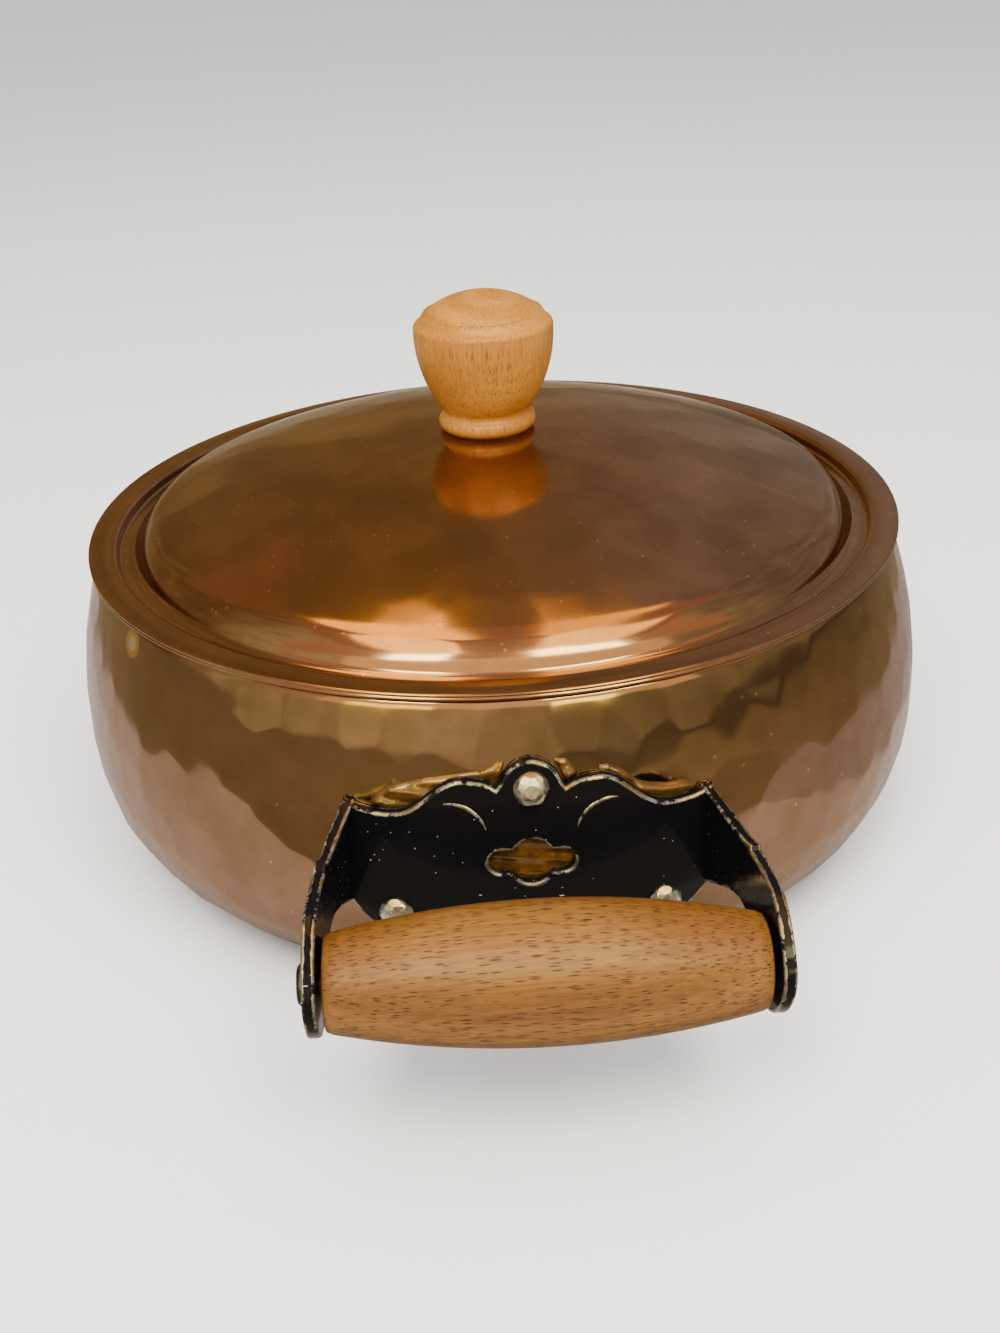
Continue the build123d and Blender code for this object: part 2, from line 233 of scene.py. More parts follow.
class Graph:
    """Writes the nodes of one material or node group."""

    def __init__(self, tree: Tree) -> None:
        """Takes the tree that is written to."""
        self.tree = tree

    def node(self, kind: str, inputs: dict | None = None, **settings: object) -> Node:
        """Adds a node.

        Args:
            kind: Its type, without the words that every shader node's type starts with.
            inputs: Values or sockets for its inputs, by name or index.
            **settings: Its own properties.

        Returns:
            The new node.
        """
        node = self.tree.nodes.new("ShaderNode" + kind)
        for name, value in settings.items():
            setattr(node, name, value)
        for key, value in (inputs or {}).items():
            if isinstance(value, Socket):
                self.tree.links.new(value, node.inputs[key])
            else:
                node.inputs[key].default_value = value
        return node

    def maths(self, operation: str, *values: object) -> Socket:
        """Adds a sum of numbers and returns its output."""
        return self.node("Math", dict(enumerate(values)), operation=operation).outputs[0]

    def mix(self, factor: object, first: object, second: object, blend: str = "MIX") -> Socket:
        """Mixes two colours and returns the mix."""
        inputs = {0: factor, 6: first, 7: second}
        return self.node("Mix", inputs, data_type="RGBA", blend_type=blend).outputs[2]

    def steps(self, value: object, low: object, high: object, out: Point2 = (0.0, 1.0)) -> Socket:
        """Maps low..high smoothly to the two out values and returns the result."""
        inputs = {"Value": value, "From Min": low, "From Max": high, "To Min": out[0], "To Max": out[1]}
        return self.node("MapRange", inputs, interpolation_type="SMOOTHSTEP").outputs[0]

    def noise(
        self, place: object, scale: float, detail: float = 3.0, rough: float = 0.5
    ) -> Socket:
        """Adds fractal noise and returns its value."""
        inputs = {"Vector": place, "Scale": scale, "Detail": detail, "Roughness": rough}
        return self.node("TexNoise", inputs).outputs[0]

    def stretched(self, place: object, scale: Point3) -> Socket:
        """Scales coordinates and returns them."""
        return self.node("Mapping", {"Vector": place, "Scale": scale}).outputs[0]

    def distance(self, first: object, second: object) -> Socket:
        """Returns the length of the line across two numbers at right angles."""
        squares = [self.maths("POWER", value, 2.0) for value in (first, second)]
        return self.maths("SQRT", self.maths("ADD", *squares))

    def object_place(self) -> Socket:
        """Returns the object coordinates, in metres."""
        return self.node("TexCoord").outputs["Object"]

    def times(self, first: object, second: object) -> Socket:
        """Returns the product of two numbers."""
        return self.maths("MULTIPLY", first, second)

    def bump(self, height: object, distance: float, strength: float) -> Socket:
        """Adds fine relief and returns its normal."""
        return self.node("Bump", {"Height": height, "Distance": distance, "Strength": strength}).outputs[0]

    def use(self, group: Tree, **inputs: object) -> dict[str, Socket]:
        """Places a group, its inputs given by name, and returns its outputs by name."""
        return {socket.name: socket for socket in self.node("Group", inputs, node_tree=group).outputs}


def new_group(name: str, inputs: dict[str, object], outputs: dict[str, str]) -> tuple[Graph, dict, dict]:
    """Starts a shader node group.

    Args:
        name: Name of the group.
        inputs: Default value of each input; a tuple of 4 is a colour and a tuple of 3 is a vector.
        outputs: Socket type of each output.

    Returns:
        The group's graph, its inputs' sockets by name, and a dict to be given to close_group.
    """
    tree = bpy.data.node_groups.new(name, "ShaderNodeTree")
    kinds = {float: "NodeSocketFloat", 3: "NodeSocketVector", 4: "NodeSocketColor"}
    for key, value in inputs.items():
        kind = kinds[len(value) if isinstance(value, tuple) else float]
        socket = tree.interface.new_socket(key, in_out="INPUT", socket_type=kind)
        socket.default_value = value
    for key, kind in outputs.items():
        tree.interface.new_socket(key, in_out="OUTPUT", socket_type=kind)
    source = tree.nodes.new("NodeGroupInput")
    sink = tree.nodes.new("NodeGroupOutput")
    given = {key: source.outputs[key] for key in inputs}
    return Graph(tree), given, {key: sink.inputs[key] for key in outputs}


def close_group(graph: Graph, sinks: dict, results: dict) -> Tree:
    """Joins a group's results to its outputs and returns the group."""
    for key, value in results.items():
        graph.tree.links.new(value, sinks[key])
    return graph.tree


VALUE = "NodeSocketFloat"
PLACE = (0.0, 0.0, 0.0)


class Effects:
    """Shared shader groups, each built once."""

    def __init__(self) -> None:
        """Builds every group."""
        self.patches = self._patches()
        self.specks = self._specks()
        self.brushing = self._brushing()
        self.wear = self._wear()
        self.wood = self._wood()
        self.spot = self._spot()

    @staticmethod
    def _patches() -> Tree:
        """Builds cloudy patches of tarnish: large soft ones and small mottled ones."""
        inputs = {"Place": PLACE, "Size": 1.0}
        graph, given, sinks = new_group("tarnish_patches", inputs, {"Large": VALUE, "Small": VALUE})
        sized = {0: given["Place"], "Scale": given["Size"]}
        place = graph.node("VectorMath", sized, operation="SCALE").outputs[0]
        large = graph.steps(graph.noise(place, 22.0, 4.0), 0.35, 0.65)
        small = graph.steps(graph.noise(place, 110.0, 5.0, 0.6), 0.3, 0.7)
        return close_group(graph, sinks, {"Large": large, "Small": small})

    @staticmethod
    def _specks() -> Tree:
        """Builds fine pale specks that sit at random, few to many by their amount."""
        inputs = {"Place": PLACE, "Density": 400.0, "Size": 0.12, "Amount": 0.5}
        graph, given, sinks = new_group("pale_specks", inputs, {"Mask": VALUE})
        cells = graph.node("TexVoronoi", {"Vector": given["Place"], "Scale": given["Density"]})
        chance = graph.node("SeparateColor", {0: cells.outputs["Color"]}).outputs[0]
        kept = graph.maths("LESS_THAN", chance, given["Amount"])
        inside = graph.maths("LESS_THAN", cells.outputs["Distance"], given["Size"])
        return close_group(graph, sinks, {"Mask": graph.times(kept, inside)})

    @staticmethod
    def _brushing() -> Tree:
        """Builds fine lines that run round the Z axis, as a spun or wiped sheet has."""
        inputs = {"Place": PLACE, "Fineness": 3000.0}
        graph, given, sinks = new_group("round_brushing", inputs, {"Lines": VALUE})
        parts = graph.node("SeparateXYZ", {0: given["Place"]}).outputs
        radius = graph.distance(parts[0], parts[1])
        turn = graph.times(graph.maths("ARCTAN2", parts[1], parts[0]), 0.002)
        flat = graph.node("CombineXYZ", {0: radius, 1: turn, 2: parts[2]}).outputs[0]
        inputs = {"Vector": flat, "Scale": given["Fineness"], "Detail": 2.0}
        return close_group(graph, sinks, {"Lines": graph.node("TexNoise", inputs).outputs[0]})

    @staticmethod
    def _wear() -> Tree:
        """Builds worn edges: bare metal where the piece's edge attribute is high, broken up by noise. The
        pale bare metal also paints the highlight along the edges.
        """
        inputs = {"Place": PLACE, "Low": 0.3, "High": 0.6, "Ragged": 0.5}
        graph, given, sinks = new_group("edge_wear", inputs, {"Mask": VALUE})
        edge = graph.node("Attribute", attribute_name="edge").outputs["Fac"]
        ragged = graph.maths("SUBTRACT", graph.noise(given["Place"], 260.0, 5.0, 0.65), 0.5)
        level = graph.maths("ADD", edge, graph.times(ragged, given["Ragged"]))
        return close_group(graph, sinks, {"Mask": graph.steps(level, given["Low"], given["High"])})

    @staticmethod
    def _wood() -> Tree:
        """Builds long wood grain along X: broad figure, fine fibre and short dark pores."""
        inputs = {"Place": PLACE, "Rings": 90.0, "Pores": 0.35}
        outputs = {"Figure": VALUE, "Fibre": VALUE, "Pore": VALUE}
        graph, given, sinks = new_group("wood_grain", inputs, outputs)
        bend = graph.noise(graph.stretched(given["Place"], (8.0, 30.0, 30.0)), 1.0, 2.0)
        shift = {0: bend, 1: (0.004, 0.004, 0.004), 2: given["Place"]}
        shifted = graph.node("VectorMath", shift, operation="MULTIPLY_ADD").outputs[0]
        parts = graph.node("SeparateXYZ", {0: shifted}).outputs
        rings = graph.times(graph.distance(parts[1], parts[2]), given["Rings"])
        wave = graph.maths("SINE", graph.times(rings, FULL_TURN))
        figure = graph.steps(wave, -1.0, 1.0)
        fibre = graph.noise(graph.stretched(given["Place"], (60.0, 1600.0, 1600.0)), 1.0, 4.0, 0.6)
        pore_place = graph.stretched(given["Place"], (260.0, 2300.0, 2300.0))
        cells = graph.node("TexVoronoi", {"Vector": pore_place, "Scale": 1.0})
        chance = graph.node("SeparateColor", {0: cells.outputs["Color"]}).outputs[0]
        kept = graph.maths("LESS_THAN", chance, given["Pores"])
        pore = graph.times(kept, graph.steps(cells.outputs["Distance"], 0.2, 0.5, (1.0, 0.0)))
        return close_group(graph, sinks, {"Figure": figure, "Fibre": fibre, "Pore": pore})

    @staticmethod
    def _spot() -> Tree:
        """Builds a soft-edged oval patch round a point."""
        inputs = {"Place": PLACE, "Centre": (0.0, 0.0, 0.0), "Reach": (0.01, 0.01, 0.01), "Soft": 0.2}
        graph, given, sinks = new_group("oval_spot", inputs, {"Mask": VALUE, "Distance": VALUE})
        ends = {0: given["Place"], 1: given["Centre"]}
        away = graph.node("VectorMath", ends, operation="SUBTRACT").outputs[0]
        shares = graph.node("VectorMath", {0: away, 1: given["Reach"]}, operation="DIVIDE").outputs[0]
        distance = graph.node("VectorMath", {0: shares}, operation="LENGTH").outputs["Value"]
        mask = graph.steps(distance, graph.maths("SUBTRACT", 1.0, given["Soft"]), 1.0, (1.0, 0.0))
        return close_group(graph, sinks, {"Mask": mask, "Distance": distance})


def new_material(name: str, **constants: object) -> tuple[Material, Graph, Node]:
    """Starts a material.

    Args:
        name: Name of the material.
        **constants: Values of the shader's own sockets, with _ for a space in their names.

    Returns:
        The material, its graph and its shader node.
    """
    material = bpy.data.materials.new(name)
    material.use_nodes = True
    shader = material.node_tree.nodes["Principled BSDF"]
    for key, value in constants.items():
        shader.inputs[key.replace("_", " ")].default_value = value
    return material, Graph(material.node_tree), shader


def feed(graph: Graph, shader: Node, **sockets: Socket) -> None:
    """Joins computed values to a shader's sockets.

    Args:
        graph: The material's graph.
        shader: Its shader node.
        **sockets: What feeds each socket, with _ for a space in its name.
    """
    for key, socket in sockets.items():
        graph.tree.links.new(socket, shader.inputs[key.replace("_", " ")])


@dataclass(frozen=True)
class CopperFinish:
    """Copper with a brown, oily patina. The colours are the tints of its reflections."""

    name: str
    bright: Colour
    dull: Colour
    dark: Colour
    roughness: float
    brushing: float = 0.0
    specks: float = 0.12
    ring: Point3 | None = None

    def material(self, effects: Effects) -> Material:
        """Builds the material."""
        material, graph, shader = new_material(self.name, Metallic=1.0)
        place = graph.object_place()
        patches = graph.use(effects.patches, Place=place)
        specks = graph.use(effects.specks, Place=place, Density=260.0, Size=0.11, Amount=self.specks)
        lines = graph.use(effects.brushing, Place=place)["Lines"]
        tone = graph.mix(patches["Large"], self.bright, self.dull)
        mottle = graph.times(patches["Small"], 0.35)
        tone = graph.mix(mottle, tone, self.dark)
        tone = graph.mix(graph.times(specks["Mask"], 0.5), tone, (0.75, 0.55, 0.33, 1.0))
        if self.ring:
            reach = (4.4 * MM, 4.4 * MM, 4.4 * MM)
            spot = graph.use(effects.spot, Place=place, Centre=self.ring, Reach=reach, Soft=0.25)
            tone = graph.mix(graph.times(spot["Mask"], 0.7), tone, (0.8, 0.45, 0.12, 1.0))
            core = graph.steps(spot["Distance"], 0.35, 0.6, (0.7, 0.0))
            tone = graph.mix(core, tone, (0.75, 0.68, 0.62, 1.0))
        rough = graph.steps(patches["Small"], 0.0, 1.0, (self.roughness * 0.85, self.roughness * 1.2))
        rough = graph.maths("ADD", rough, graph.times(lines, self.brushing * 0.2))
        height = graph.times(lines, self.brushing)
        bump = graph.bump(height, 0.00002, 0.5)
        feed(graph, shader, Base_Color=tone, Roughness=rough, Normal=bump)
        return material


@dataclass(frozen=True)
class TinFinish:
    """Grey tin wiped by hand over copper."""

    name: str = "wiped_tin"
    bright: Colour = (0.62, 0.61, 0.58, 1.0)
    dull: Colour = (0.4, 0.39, 0.37, 1.0)

    def material(self, effects: Effects) -> Material:
        """Builds the material."""
        material, graph, shader = new_material(self.name, Metallic=1.0)
        place = graph.object_place()
        patches = graph.use(effects.patches, Place=place)
        lines = graph.use(effects.brushing, Place=place, Fineness=900.0)["Lines"]
        tone = graph.mix(patches["Large"], self.bright, self.dull)
        rough = graph.steps(lines, 0.3, 0.7, (0.24, 0.42))
        bump = graph.bump(lines, 0.00005, 0.4)
        feed(graph, shader, Base_Color=tone, Roughness=rough, Normal=bump)
        return material


@dataclass(frozen=True)
class EnamelFinish:
    """Glossy black enamel, worn to silvery steel along the edges; the silvery lines are partly real wear and
    partly a painted highlight.
    """

    name: str = "black_enamel"
    black: Colour = (0.003, 0.003, 0.0035, 1.0)
    bare: Colour = (0.42, 0.40, 0.34, 1.0)

    def material(self, effects: Effects) -> Material:
        """Builds the material."""
        material, graph, shader = new_material(
            self.name, IOR=1.28, Specular_IOR_Level=0.2, Coat_Roughness=0.06
        )
        place = graph.object_place()
        # Bare steel along the edges and on the crescents' crests: partly real wear, partly a painted
        # highlight.
        wear = graph.use(effects.wear, Place=place, Low=0.75, High=1.2, Ragged=3.2)["Mask"]
        drawn = graph.stretched(place, (0.12, 0.9, 0.5))
        chips = graph.use(effects.specks, Place=place, Density=900.0, Size=0.12, Amount=0.07)
        lines = graph.use(effects.specks, Place=drawn, Density=1300.0, Size=0.1, Amount=0.06)
        specks = graph.maths("MAXIMUM", chips["Mask"], lines["Mask"])
        patches = graph.use(effects.patches, Place=place, Size=3.0)
        bare = graph.mix(patches["Small"], self.bare, (0.16, 0.13, 0.08, 1.0))
        tone = graph.mix(wear, self.black, bare)
        tone = graph.mix(graph.times(specks, 0.5), tone, (0.6, 0.6, 0.58, 1.0))
        rough = graph.steps(patches["Small"], 0.0, 1.0, (0.1, 0.2))
        rough = graph.maths("ADD", rough, graph.times(wear, 0.18))
        coat = graph.maths("SUBTRACT", 0.15, graph.times(wear, 0.15))
        bump = graph.bump(graph.noise(place, 900.0, 3.0), 0.00004, 0.4)
        feed(graph, shader, Base_Color=tone, Roughness=rough, Metallic=wear, Coat_Weight=coat, Normal=bump)
        return material


@dataclass(frozen=True)
class WoodFinish:
    """Turned wood under a thin satin varnish, its grain along X before it is turned."""

    name: str
    pale: Colour
    warm: Colour
    pore: Colour
    turn: Point3 = (0.0, 0.0, 0.0)
    heart: Point3 = (0.0, 0.0, 0.0)
    rings: float = 90.0
    pores: float = 0.35

    def material(self, effects: Effects) -> Material:
        """Builds the material."""
        material, graph, shader = new_material(
            self.name, Coat_Weight=0.1, Coat_Roughness=0.25, Specular_IOR_Level=0.25
        )
        mapping = {"Vector": graph.object_place(), "Rotation": self.turn, "Location": self.heart}
        place = graph.node("Mapping", mapping).outputs[0]
        grain = graph.use(effects.wood, Place=place, Rings=self.rings, Pores=self.pores)
        tone = graph.mix(graph.steps(grain["Figure"], 0.0, 1.0, (0.15, 0.85)), self.pale, self.warm)
        streak = graph.steps(grain["Fibre"], 0.3, 0.75, (0.0, 0.45))
        tone = graph.mix(streak, tone, self.warm, "MULTIPLY")
        tone = graph.mix(graph.times(grain["Pore"], 0.9), tone, self.pore)
        rough = graph.steps(grain["Fibre"], 0.2, 0.8, (0.36, 0.5))
        height = graph.maths("SUBTRACT", graph.times(grain["Fibre"], 0.3), grain["Pore"])
        bump = graph.bump(height, 0.0001, 0.5)
        feed(graph, shader, Base_Color=tone, Roughness=rough, Normal=bump)
        return material


@dataclass(frozen=True)
class LacquerFinish:
    """Runs of old amber lacquer."""

    name: str = "amber_lacquer"
    amber: Colour = (0.12, 0.048, 0.003, 1.0)
    brown: Colour = (0.035, 0.013, 0.0015, 1.0)

    def material(self, effects: Effects) -> Material:
        """Builds the material."""
        material, graph, shader = new_material(self.name, Metallic=0.35, Coat_Weight=1.0, Coat_Roughness=0.05)
        place = graph.object_place()
        patches = graph.use(effects.patches, Place=place, Size=2.0)
        tone = graph.mix(patches["Small"], self.amber, self.brown)
        rough = graph.steps(patches["Large"], 0.0, 1.0, (0.12, 0.24))
        bump = graph.bump(patches["Large"], 0.0004, 0.4)
        feed(graph, shader, Base_Color=tone, Roughness=rough, Normal=bump)
        return material


@dataclass(frozen=True)
class SteelFinish:
    """Plain steel, duller in random patches."""

    name: str
    bright: Colour = (0.5, 0.5, 0.49, 1.0)
    dull: Colour = (0.26, 0.25, 0.24, 1.0)
    roughness: float = 0.3

    def material(self, effects: Effects) -> Material:
        """Builds the material."""
        material, graph, shader = new_material(self.name, Metallic=1.0)
        place = graph.object_place()
        patches = graph.use(effects.patches, Place=place, Size=5.0)
        tone = graph.mix(patches["Small"], self.bright, self.dull)
        rough = graph.steps(patches["Large"], 0.0, 1.0, (self.roughness * 0.8, self.roughness * 1.3))
        bump = graph.bump(graph.noise(place, 1500.0, 4.0), 0.00005, 0.5)
        feed(graph, shader, Base_Color=tone, Roughness=rough, Normal=bump)
        return material


@dataclass
class HammerMarks:
    """Flats left by a planishing hammer: every mark is a plane that touches the skin."""

    row_step: float = 9.5 * MM
    mark_step: float = 10.5 * MM
    jitter: float = 0.3
    tilt: float = 0.8
    sink: float = 0.06 * MM
    softness: float = 0.03 * MM
    seed: int = 7
    nearest: int = 7

    def planes(self, profile: list[Point2]) -> list[tuple[Vector, Vector]]:
        """Scatters the marks over a skin that is turned round Z.

        Args:
            profile: The skin's half section, in order.

        Returns:
            A point and a normal for each mark.
        """
        dice = random.Random(self.seed)
        lengths = [0.0]
        for a, b in zip(profile, profile[1:]):
            lengths.append(lengths[-1] + math.dist(a, b))
        rows = max(1, round(lengths[-1] / self.row_step))
        made = []
        for row in range(rows + 1):
            radius = self._at(profile, lengths, lengths[-1] * row / rows)[0]
            count = max(1, round(FULL_TURN * radius / self.mark_step))
            for mark in range(count):
                turn = FULL_TURN * (mark + 0.5 * (row % 2) + self.jitter * dice.uniform(-1, 1)) / count
                along = lengths[-1] * (row + self.jitter * dice.uniform(-1, 1)) / rows
                r, z, slope = self._at(profile, lengths, min(max(along, 0.0), lengths[-1]))
                outward = Vector((math.cos(turn), math.sin(turn), 0))
                normal = outward * math.cos(slope) + Vector((0, 0, 1)) * math.sin(slope)
                lean = Vector([dice.gauss(0, math.radians(self.tilt)) for _ in range(3)])
                point = outward * r + Vector((0, 0, z)) - normal * dice.uniform(0, self.sink)
                made.append((point, (normal + lean).normalized()))
        return made

    @staticmethod
    def _at(profile: list[Point2], lengths: list[float], along: float) -> Point3:
        """Finds radius, height and the slope of the normal at a length along a section."""
        for i in range(1, len(lengths)):
            if lengths[i] >= along or i == len(lengths) - 1:
                a, b = profile[i - 1], profile[i]
                t = (along - lengths[i - 1]) / max(lengths[i] - lengths[i - 1], 1e-12)
                slope = math.atan2(-(b[0] - a[0]), b[1] - a[1])
                return a[0] + (b[0] - a[0]) * t, a[1] + (b[1] - a[1]) * t, slope
        raise ValueError("the section has no length")

    def strike(self, bm: Mesh, profile: list[Point2], strength: dict, inward: float) -> None:
        """Moves the skin's vertices on to the marks.

        Args:
            bm: The turned shape.
            profile: The struck part of its half section.
            strength: How far each struck vertex follows the marks, from 0 to 1, by index.
            inward: How far the marks are set in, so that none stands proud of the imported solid.
        """
        planes = self.planes(profile)
        tree = KDTree(len(planes))
        for i, (point, _) in enumerate(planes):
            tree.insert(point, i)
        tree.balance()
        bm.normal_update()
        moves = []
        for index, share in strength.items():
            vert = bm.verts[index]
            heights = []
            for _, i, _ in tree.find_n(vert.co, self.nearest):
                point, normal = planes[i]
                heights.append((point - vert.co).dot(normal) / max(normal.dot(vert.normal), 0.5))
            low = min(heights)
            blended = sum(math.exp(-(h - low) / self.softness) for h in heights)
            moves.append((vert, vert.normal * share * (low - self.softness * math.log(blended) - inward)))
        for vert, move in moves:
            vert.co += move


@dataclass
class PotShell:
    """The raised copper shell of the pot."""

    base_radius: float = 82.2 * MM
    belly_radius: float = 128 * MM
    belly_height: float = 43.1 * MM
    base_fullness: float = 0.67
    neck_radius: float = 117.6 * MM
    rim_height: float = 94.3 * MM
    rim_fillet: float = 3.4 * MM
    mouth_radius: float = 113.2 * MM
    wall: float = 1.5 * MM
    step: float = 1.15 * MM
    mark_depth: float = 0.16 * MM
    top_fade: float = 9 * MM
    foot_fade: float = 3 * MM
    turns: int = 640
    marks: HammerMarks = field(default_factory=HammerMarks)

    def wall_radius(self, height: float) -> float:
        """Outer radius of the wall at a height above the belly."""
        rise = (height - self.belly_height) / (self.rim_height - self.belly_height)
        return self.belly_radius - (self.belly_radius - self.neck_radius) * max(rise, 0.0) ** 2

    def skin(self, inset: float, spans: int = 24) -> list[Point2]:
        """Half section of the skin from the edge of the base up to the rim.

        Args:
            inset: How far inside the outer skin it lies.
            spans: Number of spans below the belly, and above it.

        Returns:
            Points from the base to the end of the rim's rounding.
        """
        side = self.belly_radius - inset
        reach = self.base_fullness * (side - self.base_radius)
        climb = self.base_fullness * (self.belly_height - inset)
        low = [(self.base_radius, inset), (self.base_radius + reach, inset)]
        curve = bezier(low + [(side, self.belly_height - climb), (side, self.belly_height)], spans)
        top = self.rim_height - inset
        fillet = self.rim_fillet - inset
        lean = math.atan(2 * (self.belly_radius - self.neck_radius) / (self.rim_height - self.belly_height))
        wall_top = top - fillet * (1 - math.sin(lean))
        for i in range(1, spans + 1):
            height = self.belly_height + (wall_top - self.belly_height) * i / spans
            curve.append((self.wall_radius(height) - inset, height))
        end = curve[-1]
        centre = (end[0] - fillet * math.cos(lean), end[1] - fillet * math.sin(lean))
        return curve + arc(centre, fillet, math.degrees(lean), 90, 6)[1:]

    def build(self, material: Material) -> Object:
        """Builds the shell.

        Args:
            material: Its finish.

        Returns:
            The finished piece.
        """
        outer = self.skin(0.0, round(60 * MM / self.step))
        inner = self.skin(self.wall, 10)[::-1]
        base = resample([(0, 0), (self.base_radius, 0)], 30 * self.step)[:-1]
        floor = resample([(self.base_radius, self.wall), (0, self.wall)], 30 * self.step)[1:]
        lip = [(self.mouth_radius, self.rim_height), (self.mouth_radius, self.rim_height - self.wall)]
        bm = spun(base + outer + lip + inner + floor, self.turns)
        bm.verts.ensure_lookup_table()
        bm.normal_update()
        strength = {}
        for vert in bm.verts:
            facing = vert.normal.x * vert.co.x + vert.normal.y * vert.co.y
            if facing > 0.02 * self.base_radius and vert.co.z < self.rim_height - MM:
                fade = (self.rim_height - vert.co.z) / self.top_fade
                strength[vert.index] = min(1.0, fade, vert.co.z / self.foot_fade)
        self.marks.strike(bm, self.skin(0.0), strength, self.mark_depth)
        return finished("pot_shell", bm, material, Body.POT, Slot.COPPER, ("pot_body",))


@dataclass
class Lid:
    """The pressed lid: dome, locating groove and an edge turned under."""

    radius: float = 120 * MM
    sheet: float = 0.95 * MM
    hem_width: float = 5.5 * MM
    flange_fillet: float = 1.6 * MM
    rim_height: float = 94.3 * MM
    groove_depth: float = 3.2 * MM
    groove_width: float = 6.4 * MM
    groove_radius: float = 111.75 * MM
    groove_fillet: float = 1 * MM
    dome_top: float = 120.2 * MM
    crown_radius: float = 280 * MM
    shoulder: float = 14 * MM
    foot_lean: float = math.radians(25)
    foot_fillet: float = 3 * MM
    mark_depth: float = 0.03 * MM
    edge_fade: float = 12 * MM
    crown_fade: float = 20 * MM
    turns: int = 560
    marks: HammerMarks = field(
        default_factory=lambda: HammerMarks(12 * MM, 13 * MM, 0.35, 0.2, 0.015 * MM, 0.05 * MM, 19)
    )

    def face(self, depth: float) -> list[Point2]:
        """Half section of the lid's face from the axis out to its edge.

        Args:
            depth: How far under the top face it lies.

        Returns:
            Points from the top of the dome to the flange's edge.
        """
        top = self.rim_height + 2 * self.sheet
        crown_centre = self.dome_top - self.crown_radius
        dome_radius = self.groove_radius - self.groove_width
        shoulder_reach = self.crown_radius - self.shoulder
        lean = self.foot_lean
        middle = dome_radius - self.shoulder * math.cos(lean)
        turn = math.asin(middle / shoulder_reach)
        shoulder_centre = (middle, crown_centre + shoulder_reach * math.cos(turn))
        fine = 4 if depth else 1
        crown_end = 90 - math.degrees(turn)
        points = arc((0, crown_centre), self.crown_radius - depth, 90, crown_end, 64 // fine)
        rounding = arc(shoulder_centre, self.shoulder - depth, crown_end, math.degrees(lean), 20 // fine)
        points += rounding[1:]
        bend = self.groove_fillet + depth
        hollow = self.foot_fillet + depth
        floor = top - self.groove_depth - depth
        outer = self.groove_radius + depth
        foot = points[-1][0] + (points[-1][1] - floor) * math.tan(lean)
        turned = hollow * math.tan(math.radians(45) - lean / 2)
        points += arc((foot + turned, floor + hollow), hollow, 180 + math.degrees(lean), 270, 8)
        points += arc((outer - bend, floor + bend), bend, 270, 360, 6)
        corner = self.flange_fillet - depth
        points += arc((outer + corner, top - depth - corner), corner, 180, 90, 6)
        return points

    def build(self, material: Material) -> Object:
        """Builds the lid.

        Args:
            material: Its finish.

        Returns:
            The finished piece.
        """
        top = self.rim_height + 2 * self.sheet
        half = self.sheet / 2
        face = self.face(0.0)
        back = self.face(self.sheet)[::-1]
        edge = arc((self.radius - half, top - half), half, 90, -72, 6)
        edge += arc((self.radius - half, self.rim_height + half), half, 72, -90, 6)
        hem_radius = self.radius - self.hem_width
        hem = [(hem_radius, self.rim_height), (hem_radius, top - self.sheet)]
        struck = [point for point in face if point[0] < self.groove_radius - self.groove_width - MM]
        bm = spun(face + edge + hem + back, self.turns)
        bm.verts.ensure_lookup_table()
        bm.normal_update()
        reach = struck[-1][0]
        strength = {}
        for vert in bm.verts:
            radius = math.hypot(vert.co.x, vert.co.y)
            if radius < reach and vert.normal.z > 0.3:
                fade = (reach - radius) / self.edge_fade
                strength[vert.index] = min(1.0, fade, radius / self.crown_fade)
        self.marks.strike(bm, struck[::-1], strength, self.mark_depth)
        return finished("lid_shell", bm, material, Body.LID, Slot.COPPER, ("lid",))


